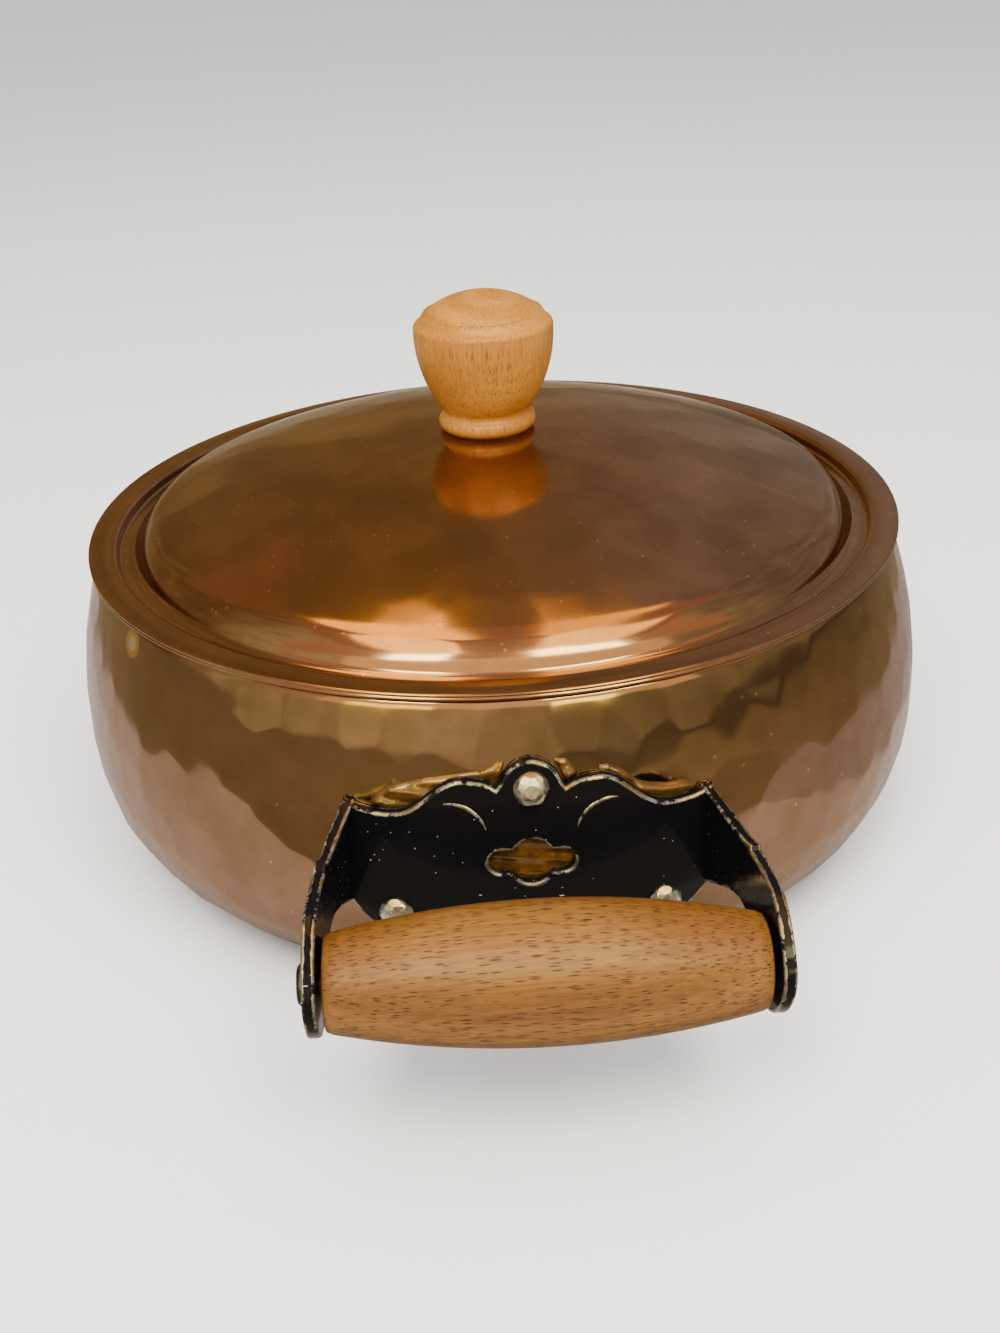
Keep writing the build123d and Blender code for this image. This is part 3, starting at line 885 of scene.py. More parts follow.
@dataclass
class Knob:
    """The turned wooden knob."""

    seat: float = 120.0039 * MM
    foot_radius: float = 14.3 * MM
    foot_height: float = 5 * MM
    foot_inset: float = 1.8 * MM
    bead_radius: float = 2.6 * MM
    neck_rise: float = 1.2 * MM
    recess_radius: float = 11 * MM
    recess_depth: float = 1 * MM
    neck_radius: float = 12.8 * MM
    cup_height: float = 29.6 * MM
    cup_radius: float = 20.2 * MM
    height: float = 39.8 * MM
    crown_radius: float = 16.6 * MM
    crown_height: float = 5.4 * MM
    brow: float = 0.7 * MM
    groove: float = 0.5 * MM
    turns: int = 128

    def build(self, material: Material) -> Object:
        """Builds the knob.

        Args:
            material: Its finish.

        Returns:
            The finished piece.
        """
        cup_top = self.cup_height
        neck_height = self.foot_height + self.neck_rise
        bead_centre = (self.foot_radius - self.bead_radius, self.foot_height / 2)
        bead = arc(bead_centre, self.bead_radius, -72, 62, 10)
        middle = (0.55 * self.neck_radius + 0.52 * self.cup_radius, 0.64 * neck_height + 0.36 * cup_top)
        cup = through((self.neck_radius, neck_height), middle, (self.cup_radius, cup_top), 16)
        crown_foot = self.height - self.crown_height
        crown_reach = (self.crown_radius**2 + self.crown_height**2) / (2 * self.crown_height)
        crown_turn = math.degrees(math.asin(self.crown_radius / crown_reach))
        crown = arc((0, self.height - crown_reach), crown_reach, 90 - crown_turn, 90, 16)
        lip = through(
            (self.cup_radius, cup_top),
            (self.cup_radius - 0.35 * self.brow, cup_top + 1.9 * self.brow),
            (self.cup_radius - 2.2 * self.brow, cup_top + 3.2 * self.brow),
            6,
        )[1:]
        recess = [(0, self.recess_depth), (self.recess_radius, self.recess_depth), (self.recess_radius, 0.0)]
        groove = [
            (self.crown_radius + self.groove, crown_foot),
            (self.crown_radius + 0.5 * self.groove, crown_foot - self.groove),
        ]
        profile = recess + [(self.foot_radius - self.foot_inset, 0.0)] + bead + cup + lip + groove + crown
        profile = [(r, self.seat + z) for r, z in profile]
        bm = spun(resample(profile, 1.5 * MM), self.turns)
        return finished("knob_wood", bm, material, Body.LID, Slot.KNOB_WOOD, ("lid_knob",))


def through(first: Point2, middle: Point2, last: Point2, count: int) -> list[Point2]:
    """Points along the arc through three points.

    Args:
        first: Its start.
        middle: A point that it passes.
        last: Its end.
        count: Number of spans.

    Returns:
        The arc's points.
    """
    (ax, ay), (bx, by), (cx, cy) = first, middle, last
    d = 2 * (ax * (by - cy) + bx * (cy - ay) + cx * (ay - by))
    squares = [x * x + y * y for x, y in (first, middle, last)]
    ux = (squares[0] * (by - cy) + squares[1] * (cy - ay) + squares[2] * (ay - by)) / d
    uy = (squares[0] * (cx - bx) + squares[1] * (ax - cx) + squares[2] * (bx - ax)) / d
    angles = [math.atan2(y - uy, x - ux) for x, y in (first, middle, last)]
    sweep = (angles[2] - angles[0]) % FULL_TURN
    if (angles[1] - angles[0]) % FULL_TURN > sweep:
        sweep -= FULL_TURN
    start = math.degrees(angles[0])
    return arc((ux, uy), math.dist(first, (ux, uy)), start, start + math.degrees(sweep), count)


def flowing(points: list[Point2], start: Point2, end: Point2, count: int) -> list[Point2]:
    """Points along a smooth curve through given points.

    Args:
        points: Points that it passes.
        start: Its direction at the first point.
        end: Its direction at the last point.
        count: Number of spans between each two points.

    Returns:
        The curve's points.
    """
    vectors = [Vector(point) for point in points]
    chords = [(b - a).length for a, b in zip(vectors, vectors[1:])]
    slopes = [Vector(start).normalized()]
    for i in range(1, len(vectors) - 1):
        before = (vectors[i] - vectors[i - 1]) / chords[i - 1]
        after = (vectors[i + 1] - vectors[i]) / chords[i]
        slopes.append((before * chords[i] + after * chords[i - 1]) / (chords[i] + chords[i - 1]))
    slopes.append(Vector(end).normalized())
    made = [points[0]]
    for i, chord in enumerate(chords):
        a, b = vectors[i], vectors[i + 1]
        corners = [a, a + slopes[i] * chord / 3, b - slopes[i + 1] * chord / 3, b]
        made += bezier([tuple(corner) for corner in corners], count)[1:]
    return made


def without_doubles(loop: list[Point2]) -> list[Point2]:
    """Leaves out the points of a loop that nearly meet the one before."""
    return [b for a, b in zip(loop[-1:] + loop[:-1], loop) if math.dist(a, b) > 0.05 * MM]


@dataclass
class Handle:
    """One handle: bracket, rivets, wooden grip and lacquer; the rod through the grip is left as imported."""

    end: End
    lean: float = math.radians(1.8)
    lean_height: float = 56 * MM
    grip_reach: float = 165.3 * MM
    grip_height: float = 51.4 * MM
    grip_half_length: float = 48.35 * MM
    grip_mid_radius: float = 16 * MM
    grip_end_radius: float = 10.6 * MM
    grip_fillet: float = 1 * MM
    bore: float = 2.56 * MM
    steel: float = 2.9 * MM
    plate_face: float = 2.95 * MM
    rivet_gap: float = 0.1 * MM
    rivet_head_radius: float = 4.3 * MM
    rivet_head_height: float = 2.9 * MM
    rivet_shank_radius: float = 2.4 * MM
    rivet_tail_radius: float = 3.9 * MM
    rivet_tail_height: float = 1.4 * MM
    rivet_brim: float = 0.18
    rivet_flat: float = 0.93
    rivet_sides: int = 6
    rivet_swing: float = 0.16
    rivet_sway: float = 4.0
    rivet_facets: tuple[Point2, ...] = ((34, 0.985), (62, 0.93))
    wall_depth: float = 2.02 * MM
    crescent_radius: float = 8.6 * MM
    crescent_width: float = 1.1 * MM
    crescent_place: Point2 = (19.2 * MM, 61.9 * MM)
    crescent_turns: Point2 = (78.0, 166.0)
    crescent_relief: float = 0.4 * MM
    plate_gap: float = 0.05 * MM
    plate_half_width: float = 43.2 * MM
    corner_height: float = 68.4 * MM
    dip: Point2 = (32.7 * MM, 66.9 * MM)
    bump: Point2 = (16.3 * MM, 75.9 * MM)
    valley: Point2 = (8.3 * MM, 73.9 * MM)
    top_rivet_height: float = 73.6 * MM
    lobe_radius: float = 7.1 * MM
    lobe_foot_rise: float = 2 * MM
    plate_foot_height: float = 42.6 * MM
    skirt: Point2 = (33 * MM, 31.5 * MM)
    skirt_centre_height: float = 35.5 * MM
    window_width: float = 21 * MM
    window_slot_height: float = 6.4 * MM
    window_bulge_width: float = 10.6 * MM
    window_bulge_height: float = 12.2 * MM
    window_height: float = 55.4 * MM
    arm_half_gap: float = 49.5 * MM
    arm_reach: float = 178 * MM
    arm_flare: float = math.radians(12.2)
    arm_end_radius: float = 12.6 * MM
    arm_tip_rise: float = 4.4 * MM
    cusp: Point2 = (147.5 * MM, 69.6 * MM)
    notch: float = 1 * MM
    notch_run: float = 0.4 * MM
    arm_top: Point2 = (167 * MM, 67 * MM)
    arm_arch: Point2 = (148 * MM, 52 * MM)
    arm_root_top: float = 68 * MM
    arm_root_foot: float = 41.1 * MM
    lacquer_step: float = 0.8 * MM
    lacquer_slope: float = 1.4 * MM
    lacquer_rim: float = 0.3
    lacquer_ripple: float = 0.3
    lacquer_waves: Point2 = (0.16, 1.5)
    edge_radius: float = 0.55 * MM
    wear_width: float = 0.5 * MM
    outline_step: float = 0.9 * MM

    @property
    def prefix(self) -> str:
        """First word of the names of this handle's pieces."""
        return self.end.name.lower()

    @property
    def leaned(self) -> Matrix:
        """How the front handle leans on the pot."""
        pivot = Matrix.Translation((0, 0, self.lean_height))
        return pivot @ Matrix.Rotation(self.lean, 4, "Y") @ pivot.inverted()

    @property
    def turned(self) -> Matrix:
        """How a piece made for the front is turned to this end."""
        return Matrix.Rotation(self.end.value, 4, "Z")

    def grip(self, material: Material) -> Object:
        """Builds the turned wooden grip.

        Args:
            material: Its finish.

        Returns:
            The finished piece.
        """
        half, fillet = self.grip_half_length, self.grip_fillet
        end = self.grip_end_radius
        side = through((-half, end), (0, self.grip_mid_radius), (half, end), 60)
        side = [(length, radius) for length, radius in side if abs(length) < half - fillet]
        rounding = arc((half - fillet, end - fillet), fillet, 0, 80, 5)
        mirrored = [(-length, radius) for length, radius in rounding[::-1]]
        profile = [(half, self.bore)] + rounding + side[::-1] + mirrored + [(-half, self.bore)]
        bm = spun([(r, x) for x, r in profile + profile[:1]], 96)
        bm.transform(Matrix.Rotation(math.radians(90), 4, "Y"))
        bm.transform(self.turned @ self.leaned @ Matrix.Translation((0, -self.grip_reach, self.grip_height)))
        body = Body.FRONT_GRIP if self.end is End.FRONT else Body.REAR_GRIP
        name = f"{self.prefix}_grip"
        return finished(f"{name}_wood", bm, material, body, Slot.GRIP_WOOD, (name,))

    def bracket(self, material: Material) -> Object:
        """Builds the enamelled bracket from its plate, arms and crescents.

        Args:
            material: Its finish.

        Returns:
            The finished piece.
        """
        bm = bmesh.new()
        if "front_bracket" in bpy.data.meshes:
            bm.from_mesh(bpy.data.meshes["front_bracket"])
        else:
            edge = bm.verts.layers.float.new("edge")
            self._plate(bm, edge)
            for side in (-1, 1):
                self._arm(bm, edge, side)
                self._crescent(bm, edge, side)
        bm.transform(self.turned)
        obj = finished(
            f"{self.prefix}_bracket", bm, material, Body.POT, Slot.ENAMEL, (f"{self.prefix}_handle_bracket",)
        )
        obj.modifiers.new("even_shading", "WEIGHTED_NORMAL")
        return obj

    def skin_radius(self, height: float, depth: float) -> float:
        """Radius of the surface that lies a depth outside the pot's wall, at a height."""
        shell = PotShell()
        rise = shell.rim_height - shell.belly_height
        slope = 2 * (shell.belly_radius - shell.neck_radius) / rise
        narrowing = shell.belly_radius - shell.neck_radius + depth - depth * (math.sqrt(1 + slope**2) - slope)
        climb = height - shell.belly_height
        if climb > 0:
            share = climb / rise
            if depth > MM / 10:
                share = (math.sqrt(rise**2 + 4 * depth * climb) - rise) / (2 * depth)
            return shell.belly_radius + depth - narrowing * share**2
        drop = -climb / (shell.belly_height + depth)
        power = math.log(2) / math.log(8 / (4 + 3 * shell.base_fullness))
        side = shell.belly_radius + depth
        return shell.base_radius + (side - shell.base_radius) * (1 - drop**power) ** (1 / power)

    def wrapped(self, u: float, v: float, depth: float) -> Vector:
        """Leans a point of the level plate and lays it a depth outside the pot's wall."""
        spot = self.leaned @ Vector((u, 0, v))
        radius = self.skin_radius(spot.z, depth)
        return Vector((spot.x, -math.sqrt(radius**2 - spot.x**2), spot.z))

    def rivet(self, place: str, spot: Point2, material: Material) -> Object:
        """Builds one rivet, its head hammered into facets.

        Args:
            place: Its place in the name of its node.
            spot: Where it goes through the level plate.
            material: Its finish.

        Returns:
            The finished piece.
        """
        dice = random.Random(f"{self.prefix} {place}")
        shell = PotShell()
        centre = self.leaned @ Vector((spot[0], 0, spot[1]))
        radius = self.skin_radius(centre.z, 0.0)
        turn = math.asin(centre.x / radius)
        rise = shell.rim_height - shell.belly_height
        slope = 2 * (shell.belly_radius - shell.neck_radius) * max(centre.z - shell.belly_height, 0) / rise**2
        tilt = math.atan(slope)
        outward = Vector((math.sin(turn), -math.cos(turn), 0))
        normal = outward * math.cos(tilt) + Vector((0, 0, math.sin(tilt)))
        across = Vector((math.cos(turn), math.sin(turn), 0))
        seat = self.plate_face + self.rivet_gap
        inner = -self.wall_depth - self.rivet_gap
        head, tall = self.rivet_head_radius, self.rivet_head_height
        tail, tail_end = self.rivet_tail_radius, inner - self.rivet_tail_height
        brim, domed = self.rivet_brim, 1 - self.rivet_brim
        profile = [(0, tail_end), (tail - 0.6 * MM, tail_end), (tail, inner - 0.3 * MM), (tail, inner)]
        profile += [(self.rivet_shank_radius, inner), (self.rivet_shank_radius, seat), (head, seat)]
        for turn in (0.0, 0.3, 0.6, 0.9, 1.2):
            profile.append((head * math.cos(turn), seat + tall * (brim + domed * math.sin(turn))))
        bm = spun(profile + [(0, seat + tall)], 40)
        cuts = [(0.0, 0.0, self.rivet_flat * tall)]
        for ring, (lean, depth) in enumerate(self.rivet_facets):
            for i in range(self.rivet_sides):
                place_in_ring = i + 0.5 * ring + dice.uniform(-self.rivet_swing, self.rivet_swing)
                sway = dice.uniform(-self.rivet_sway, self.rivet_sway)
                around = FULL_TURN * place_in_ring / self.rivet_sides
                cuts.append((math.radians(lean + sway), around, depth))
        for lean, around, far in cuts:
            flat = math.sin(lean)
            way = Vector((flat * math.cos(around), flat * math.sin(around), math.cos(lean)))
            if lean:
                support = math.hypot(head * flat, domed * tall * math.cos(lean))
                far = far * (support + brim * tall * math.cos(lean)) - 0.1 * MM * dice.random()
            sliced(bm, way * far + Vector((0, 0, seat)), way, True)
            bmesh.ops.holes_fill(bm, edges=bm.edges, sides=0)
        bmesh.ops.remove_doubles(bm, verts=bm.verts, dist=0.02 * MM)
        bmesh.ops.recalc_face_normals(bm, faces=bm.faces)
        sharp = [e for e in bm.edges if len(e.link_faces) == 2 and e.calc_face_angle() > math.radians(12)]
        sharp = [e for e in sharp if min(v.co.z for v in e.verts) > seat + 0.1 * MM]
        bmesh.ops.bevel(
            bm, geom=sharp, offset=0.12 * MM, segments=2, profile=0.5, affect="EDGES", material=-1,
            clamp_overlap=True,
        )
        frame_of = Matrix((across, normal.cross(across), normal)).transposed().to_4x4()
        bm.transform(Matrix.Translation(outward * radius + Vector((0, 0, centre.z))) @ frame_of)
        bm.transform(self.turned)
        name = f"{self.prefix}_rivet_{place}"
        return finished(f"{name}_hammered", bm, material, Body.POT, Slot.RIVET, (name,), False)

    def lacquer(
        self, name: str, outline: list[Point2], depths: Point2, material: Material
    ) -> Object:
        """Builds a run of old lacquer on the pot's wall.

        Args:
            name: Its name.
            outline: Its outline in front of the level handle, in millimetres.
            depths: How far outside the wall its back and its crest lie.
            material: Its finish.

        Returns:
            The finished piece.
        """
        bm = bmesh.new()
        loop = resample([(u * MM, v * MM) for u, v in outline + outline[:1]], self.lacquer_step)[:-1]
        outlined(bm, loop, 0)
        bmesh.ops.triangle_fill(bm, use_beauty=True, use_dissolve=False, edges=bm.edges, normal=(0, 0, 1))
        for _ in range(5):
            long = [edge for edge in bm.edges if edge.calc_length() > 1.5 * self.lacquer_step]
            bmesh.ops.subdivide_edges(bm, edges=long, cuts=1)
            bmesh.ops.triangulate(bm, faces=bm.faces)
            inner = [edge for edge in bm.edges if not edge.is_boundary]
            bmesh.ops.beautify_fill(bm, faces=bm.faces, edges=inner)
        tree = KDTree(len(loop))
        for index, (u, v) in enumerate(loop):
            tree.insert((u, v, 0), index)
        tree.balance()
        raised = bmesh.ops.extrude_face_region(bm, geom=list(bm.faces))["geom"]
        for vert in (item for item in raised if isinstance(item, bmesh.types.BMVert)):
            share = min(tree.find(vert.co)[2] / self.lacquer_slope, 1.0)
            vert.co.z = self.lacquer_rim + (1 - self.lacquer_rim) * math.sin(math.pi / 2 * share)
        bmesh.ops.recalc_face_normals(bm, faces=bm.faces)
        for vert in bm.verts:
            wave = self.lacquer_waves[0] * vert.co.x / MM + self.lacquer_waves[1] * vert.co.y / MM
            ripple = 1 + self.lacquer_ripple * vert.co.z * math.sin(wave)
            depth = depths[0] + (depths[1] - depths[0]) * vert.co.z * ripple
            vert.co = self.wrapped(vert.co.x, vert.co.y, depth)
        bm.transform(self.turned)
        return finished(f"{self.prefix}_{name}", bm, material, Body.POT, Slot.COPPER)

    def _slab(
        self, bm: Mesh, edge: Layer, loops: list[list[Point2]], spacing: float, cut_both: bool,
        place: Bend,
    ) -> None:
        """Makes a sheet with rounded edges of a drawn outline and bends it into place.

        Args:
            bm: The mesh that it joins.
            edge: The vertex layer that holds how close a vertex is to an edge.
            loops: The outline and its windows, drawn flat.
            spacing: Width of the strips that it is cut into before it is bent.
            cut_both: Whether it is cut both ways, as a sheet that bends both ways needs.
            place: Gives a place for the drawing's two coordinates and a share of the thickness.
        """
        part = bmesh.new()
        mark = part.verts.layers.float.new("edge")
        for loop in loops:
            outlined(part, loop, self.edge_radius)
        bmesh.ops.triangle_fill(part, use_beauty=True, use_dissolve=False, edges=part.edges, normal=(0, 0, 1))
        back = list(part.faces)
        raised = bmesh.ops.extrude_face_region(part, geom=back)["geom"]
        front = [item for item in raised if isinstance(item, bmesh.types.BMFace)]
        upright = self.steel - 2 * self.edge_radius
        bmesh.ops.translate(part, vec=(0, 0, upright), verts=list({v for f in front for v in f.verts}))
        bmesh.ops.recalc_face_normals(part, faces=part.faces)
        for vert in part.verts:
            vert[mark] = 1.0
        for share in (0.36, 0.64):
            cut = sliced(part, (0, 0, share * self.steel), (0, 0, 1))
            for vert in (item for item in cut if isinstance(item, bmesh.types.BMVert)):
                vert[mark] = 0.0
        for faces in (front, back):
            for turn in (30, 60, 90):
                start, stop = math.radians(turn - 30), math.radians(turn)
                wide = self.edge_radius * (math.cos(start) - math.cos(stop))
                deep = self.edge_radius * (math.sin(stop) - math.sin(start))
                bmesh.ops.inset_region(
                    part, faces=faces, thickness=wide, depth=deep, use_boundary=True, use_even_offset=True
                )
            # This strip along each edge is painted as worn bare steel, partly real wear and partly a painted
            # highlight.
            bmesh.ops.inset_region(part, faces=faces, thickness=self.wear_width, depth=0, use_boundary=True)
            for vert in {v for f in faces for v in f.verts}:
                vert[mark] = 0.0
        spans = [(min(p[k] for p in loops[0]), max(p[k] for p in loops[0])) for k in range(2)]
        for axis in (0, 1) if cut_both else (0,):
            low, high = spans[axis]
            for i in range(1, int((high - low) / spacing)):
                point = [0.0, 0.0, 0.0]
                point[axis] = low + i * spacing
                normal = [1.0 if k == axis else 0.0 for k in range(3)]
                sliced(part, point, normal)
        for vert in part.verts:
            vert.co = place(vert.co.x, vert.co.y, vert.co.z / self.steel)
        bmesh.ops.recalc_face_normals(part, faces=part.faces)
        self._join(bm, edge, part, mark)

    @staticmethod
    def _join(bm: Mesh, edge: Layer, part: Mesh, mark: Layer) -> None:
        """Adds a part with its edge values to the bracket's mesh and frees it."""
        copies = {vert: bm.verts.new(vert.co) for vert in part.verts}
        for vert, copy in copies.items():
            copy[edge] = vert[mark]
        for face in part.faces:
            bm.faces.new([copies[vert] for vert in face.verts])
        part.free()

    def _plate(self, bm: Mesh, edge: Layer) -> None:
        """Adds the riveted plate with its scalloped top and its window.

        Args:
            bm: The bracket's mesh.
            edge: Its edge layer.
        """
        top = self.top_rivet_height
        lobe_end = (self.lobe_radius, top + self.lobe_foot_rise)
        drop = self.lobe_radius - self.lobe_foot_rise
        lobe = (self.lobe_radius**2 + drop**2) / (2 * drop)
        turn = math.degrees(math.asin(self.lobe_radius / lobe))
        half = arc((0, top + self.lobe_radius - lobe), lobe, 90, 90 - turn, 10)
        corner = (self.plate_half_width + self.steel / 2, self.corner_height)
        half += [lobe_end, self.valley]
        half += flowing([self.valley, self.bump, self.dip, corner], (0.8, 0.6), (0.93, 0.37), 12)[1:]
        foot = (corner[0], self.plate_foot_height)
        half += [foot]
        half += flowing([foot, self.skirt, (0, self.skirt_centre_height)], (-0.5, -0.87), (-1, 0), 14)[1:]
        loop = half[1:] + [(-u, v) for u, v in half[-2:0:-1]] + half[:1]
        loop = resample(loop + loop[:1], self.outline_step)[:-1]
        window = self._window()

        def place(u: float, v: float, share: float) -> Vector:
            """Bends the plate round the pot."""
            return self.wrapped(u, v, self.plate_gap + share * self.steel)

        self._slab(bm, edge, [without_doubles(loop), without_doubles(window)], 3 * MM, True, place)

    def _window(self) -> list[Point2]:
        """Outline of the window: a slot with a round bulge above and below."""
        slot = self.window_slot_height / 2
        reach = self.window_width / 2 - slot
        wide, high = self.window_bulge_width / 2, self.window_bulge_height / 2
        start = math.asin(slot / high)
        bulge = [start + (math.pi - 2 * start) * i / 16 for i in range(17)]
        upper = arc((reach, 0), slot, -90, 90, 12)
        upper += [(wide * math.cos(t), high * math.sin(t)) for t in bulge]
        upper += arc((-reach, 0), slot, 90, 270, 12)
        lower = [(wide * math.cos(t + math.pi), high * math.sin(t + math.pi)) for t in bulge]
        loop = resample(upper + lower + upper[:1], self.outline_step)[:-1]
        return [(u, v + self.window_height) for u, v in loop][::-1]

    def _arm(self, bm: Mesh, edge: Layer, side: int) -> None:
        """Adds one arm.

        Args:
            bm: The bracket's mesh.
            edge: Its edge layer.
            side: -1 for the arm on the left, 1 for the one on the right.
        """
        reach, height = self.arm_reach, self.grip_height
        bow = (reach - PotShell().belly_radius) / math.sin(self.arm_flare)
        cusp = self.cusp
        notch = (cusp[0] + self.notch_run, cusp[1] - self.notch)
        tip = (reach, height + self.arm_tip_rise)
        heel = (self.grip_reach, height - self.arm_end_radius)
        heights = [self.arm_root_foot + (self.arm_root_top - self.arm_root_foot) * i / 12 for i in range(13)]
        root = []
        for level in heights:
            radius = self.skin_radius(level, self.plate_gap + 0.3 * self.steel)
            root.append((math.sqrt(radius**2 - (self.plate_half_width + self.steel / 2) ** 2), level))
        loop = flowing([root[-1], cusp], (1, 0), (0.95, 0.31), 12)[:-1]
        loop += [cusp] + flowing([notch, self.arm_top, tip, heel], (1, 0), (-1, 0), 12)[:-1]
        loop += flowing([heel, self.arm_arch, root[0]], (-0.93, 0.36), (-0.93, -0.36), 12)[:-1]
        loop += root[:-1]
        loop = resample(loop + loop[:1], self.outline_step)[:-1]

        def place(u: float, v: float, share: float) -> Vector:
            """Bows the arm outwards."""
            radius = bow + share * self.steel
            across = self.arm_half_gap - bow + math.sqrt(radius**2 - (reach - u) ** 2)
            return self.leaned @ Vector((side * across, -u, v))

        self._slab(bm, edge, [without_doubles(loop)], 2 * MM, False, place)

    def _crescent(self, bm: Mesh, edge: Layer, side: int) -> None:
        """Adds the raised crescent on one side of the plate, its crest painted pale: partly worn steel,
        partly a painted highlight line.

        Args:
            bm: The bracket's mesh.
            edge: Its edge layer.
            side: -1 for the left, 1 for the right.
        """
        part = bmesh.new()
        mark = part.verts.layers.float.new("edge")
        low, high = (math.radians(turn) for turn in self.crescent_turns)
        steps = 24
        half = self.crescent_width / 2
        ring = outlined(part, arc((0, 0), half, 0, 315, 7), 0)
        bmesh.ops.transform(part, matrix=Matrix.Rotation(math.pi / 2, 4, "X"), verts=part.verts)
        bmesh.ops.translate(part, vec=(self.crescent_radius, 0, 0), verts=part.verts)
        bmesh.ops.spin(part, geom=ring, cent=(0, 0, 0), axis=(0, 0, 1), angle=high - low, steps=steps)
        bmesh.ops.holes_fill(part, edges=part.edges, sides=8)
        for vert in part.verts:
            turn = abs(math.atan2(vert.co.y, vert.co.x))
            share = min(1.0, turn / (high - low))
            taper = 0.15 + 0.85 * math.sin(math.pi * share) ** 0.6
            radius = self.crescent_radius + (math.hypot(vert.co.x, vert.co.y) - self.crescent_radius) * taper
            swing = turn + low
            u = side * (self.crescent_place[0] + radius * math.cos(swing))
            v = self.crescent_place[1] + radius * math.sin(swing)
            depth = self.plate_face + self.crescent_relief * vert.co.z / half * taper
            # The crest is painted as worn bare steel, which also paints the pale highlight line along the
            # crescent.
            vert[mark] = 1.1 if vert.co.z > 0 else 0.3
            vert.co = self.wrapped(u, v, depth)
        bmesh.ops.recalc_face_normals(part, faces=part.faces)
        self._join(bm, edge, part, mark)


RIVET_SPOTS = {"top": (0.0, 73.6 * MM), "left": (-32.2 * MM, 39.7 * MM), "right": (32.2 * MM, 39.7 * MM)}

# Runs of lacquer, drawn in millimetres in front of the level handle. The band along the plate's right top
# edge is partly lacquer in the gap and partly painted shade and reflection of that gap.
LACQUER_RUNS = {
    "lacquer_wedge": [
        (-38.5, 67.5), (-37.2, 69.5), (-33.8, 72.4), (-25.0, 74.8), (-19.0, 75.9), (-12.6, 77.0),
        (-7.5, 79.2), (-6.0, 79.4), (-6.6, 76.4), (-8.5, 73.6), (-12.0, 75.2), (-16.4, 75.0),
        (-20.5, 73.2), (-24.5, 69.6),
        (-29.5, 66.9), (-35.0, 66.4),
    ],
    "lacquer_blob": [
        (5.4, 79.6), (8.6, 79.3), (10.4, 77.4), (11.4, 75.8), (9.6, 74.4), (8.3, 73.8), (7.4, 75.6),
        (6.9, 77.4),
    ],
    # Along the plate's right top edge: lacquer whose dark brown also paints the shade and reflection in the
    # gap under the edge.
    "lacquer_band": [
        (16.5, 77.0), (19.0, 76.9), (21.4, 75.9), (23.6, 74.0), (26.0, 72.2), (28.3, 71.2), (32.9, 70.1),
        (37.6, 69.9), (39.9, 69.6), (41.7, 68.6), (40.5, 66.9), (37.6, 66.1), (32.9, 66.2), (28.3, 67.7),
        (26.0, 69.3), (23.6, 71.6), (21.4, 73.5), (19.0, 74.9), (16.5, 75.2),
    ],
}
WINDOW_LACQUER = [
    (-11.4, 55.4), (-10.0, 59.4), (-6.0, 60.4), (-3.6, 62.4), (3.6, 62.4), (6.0, 60.4), (10.0, 59.4),
    (11.4, 55.4),
    (10.0, 51.4), (6.0, 50.4), (3.6, 48.4), (-3.6, 48.4), (-6.0, 50.4), (-10.0, 51.4),
]


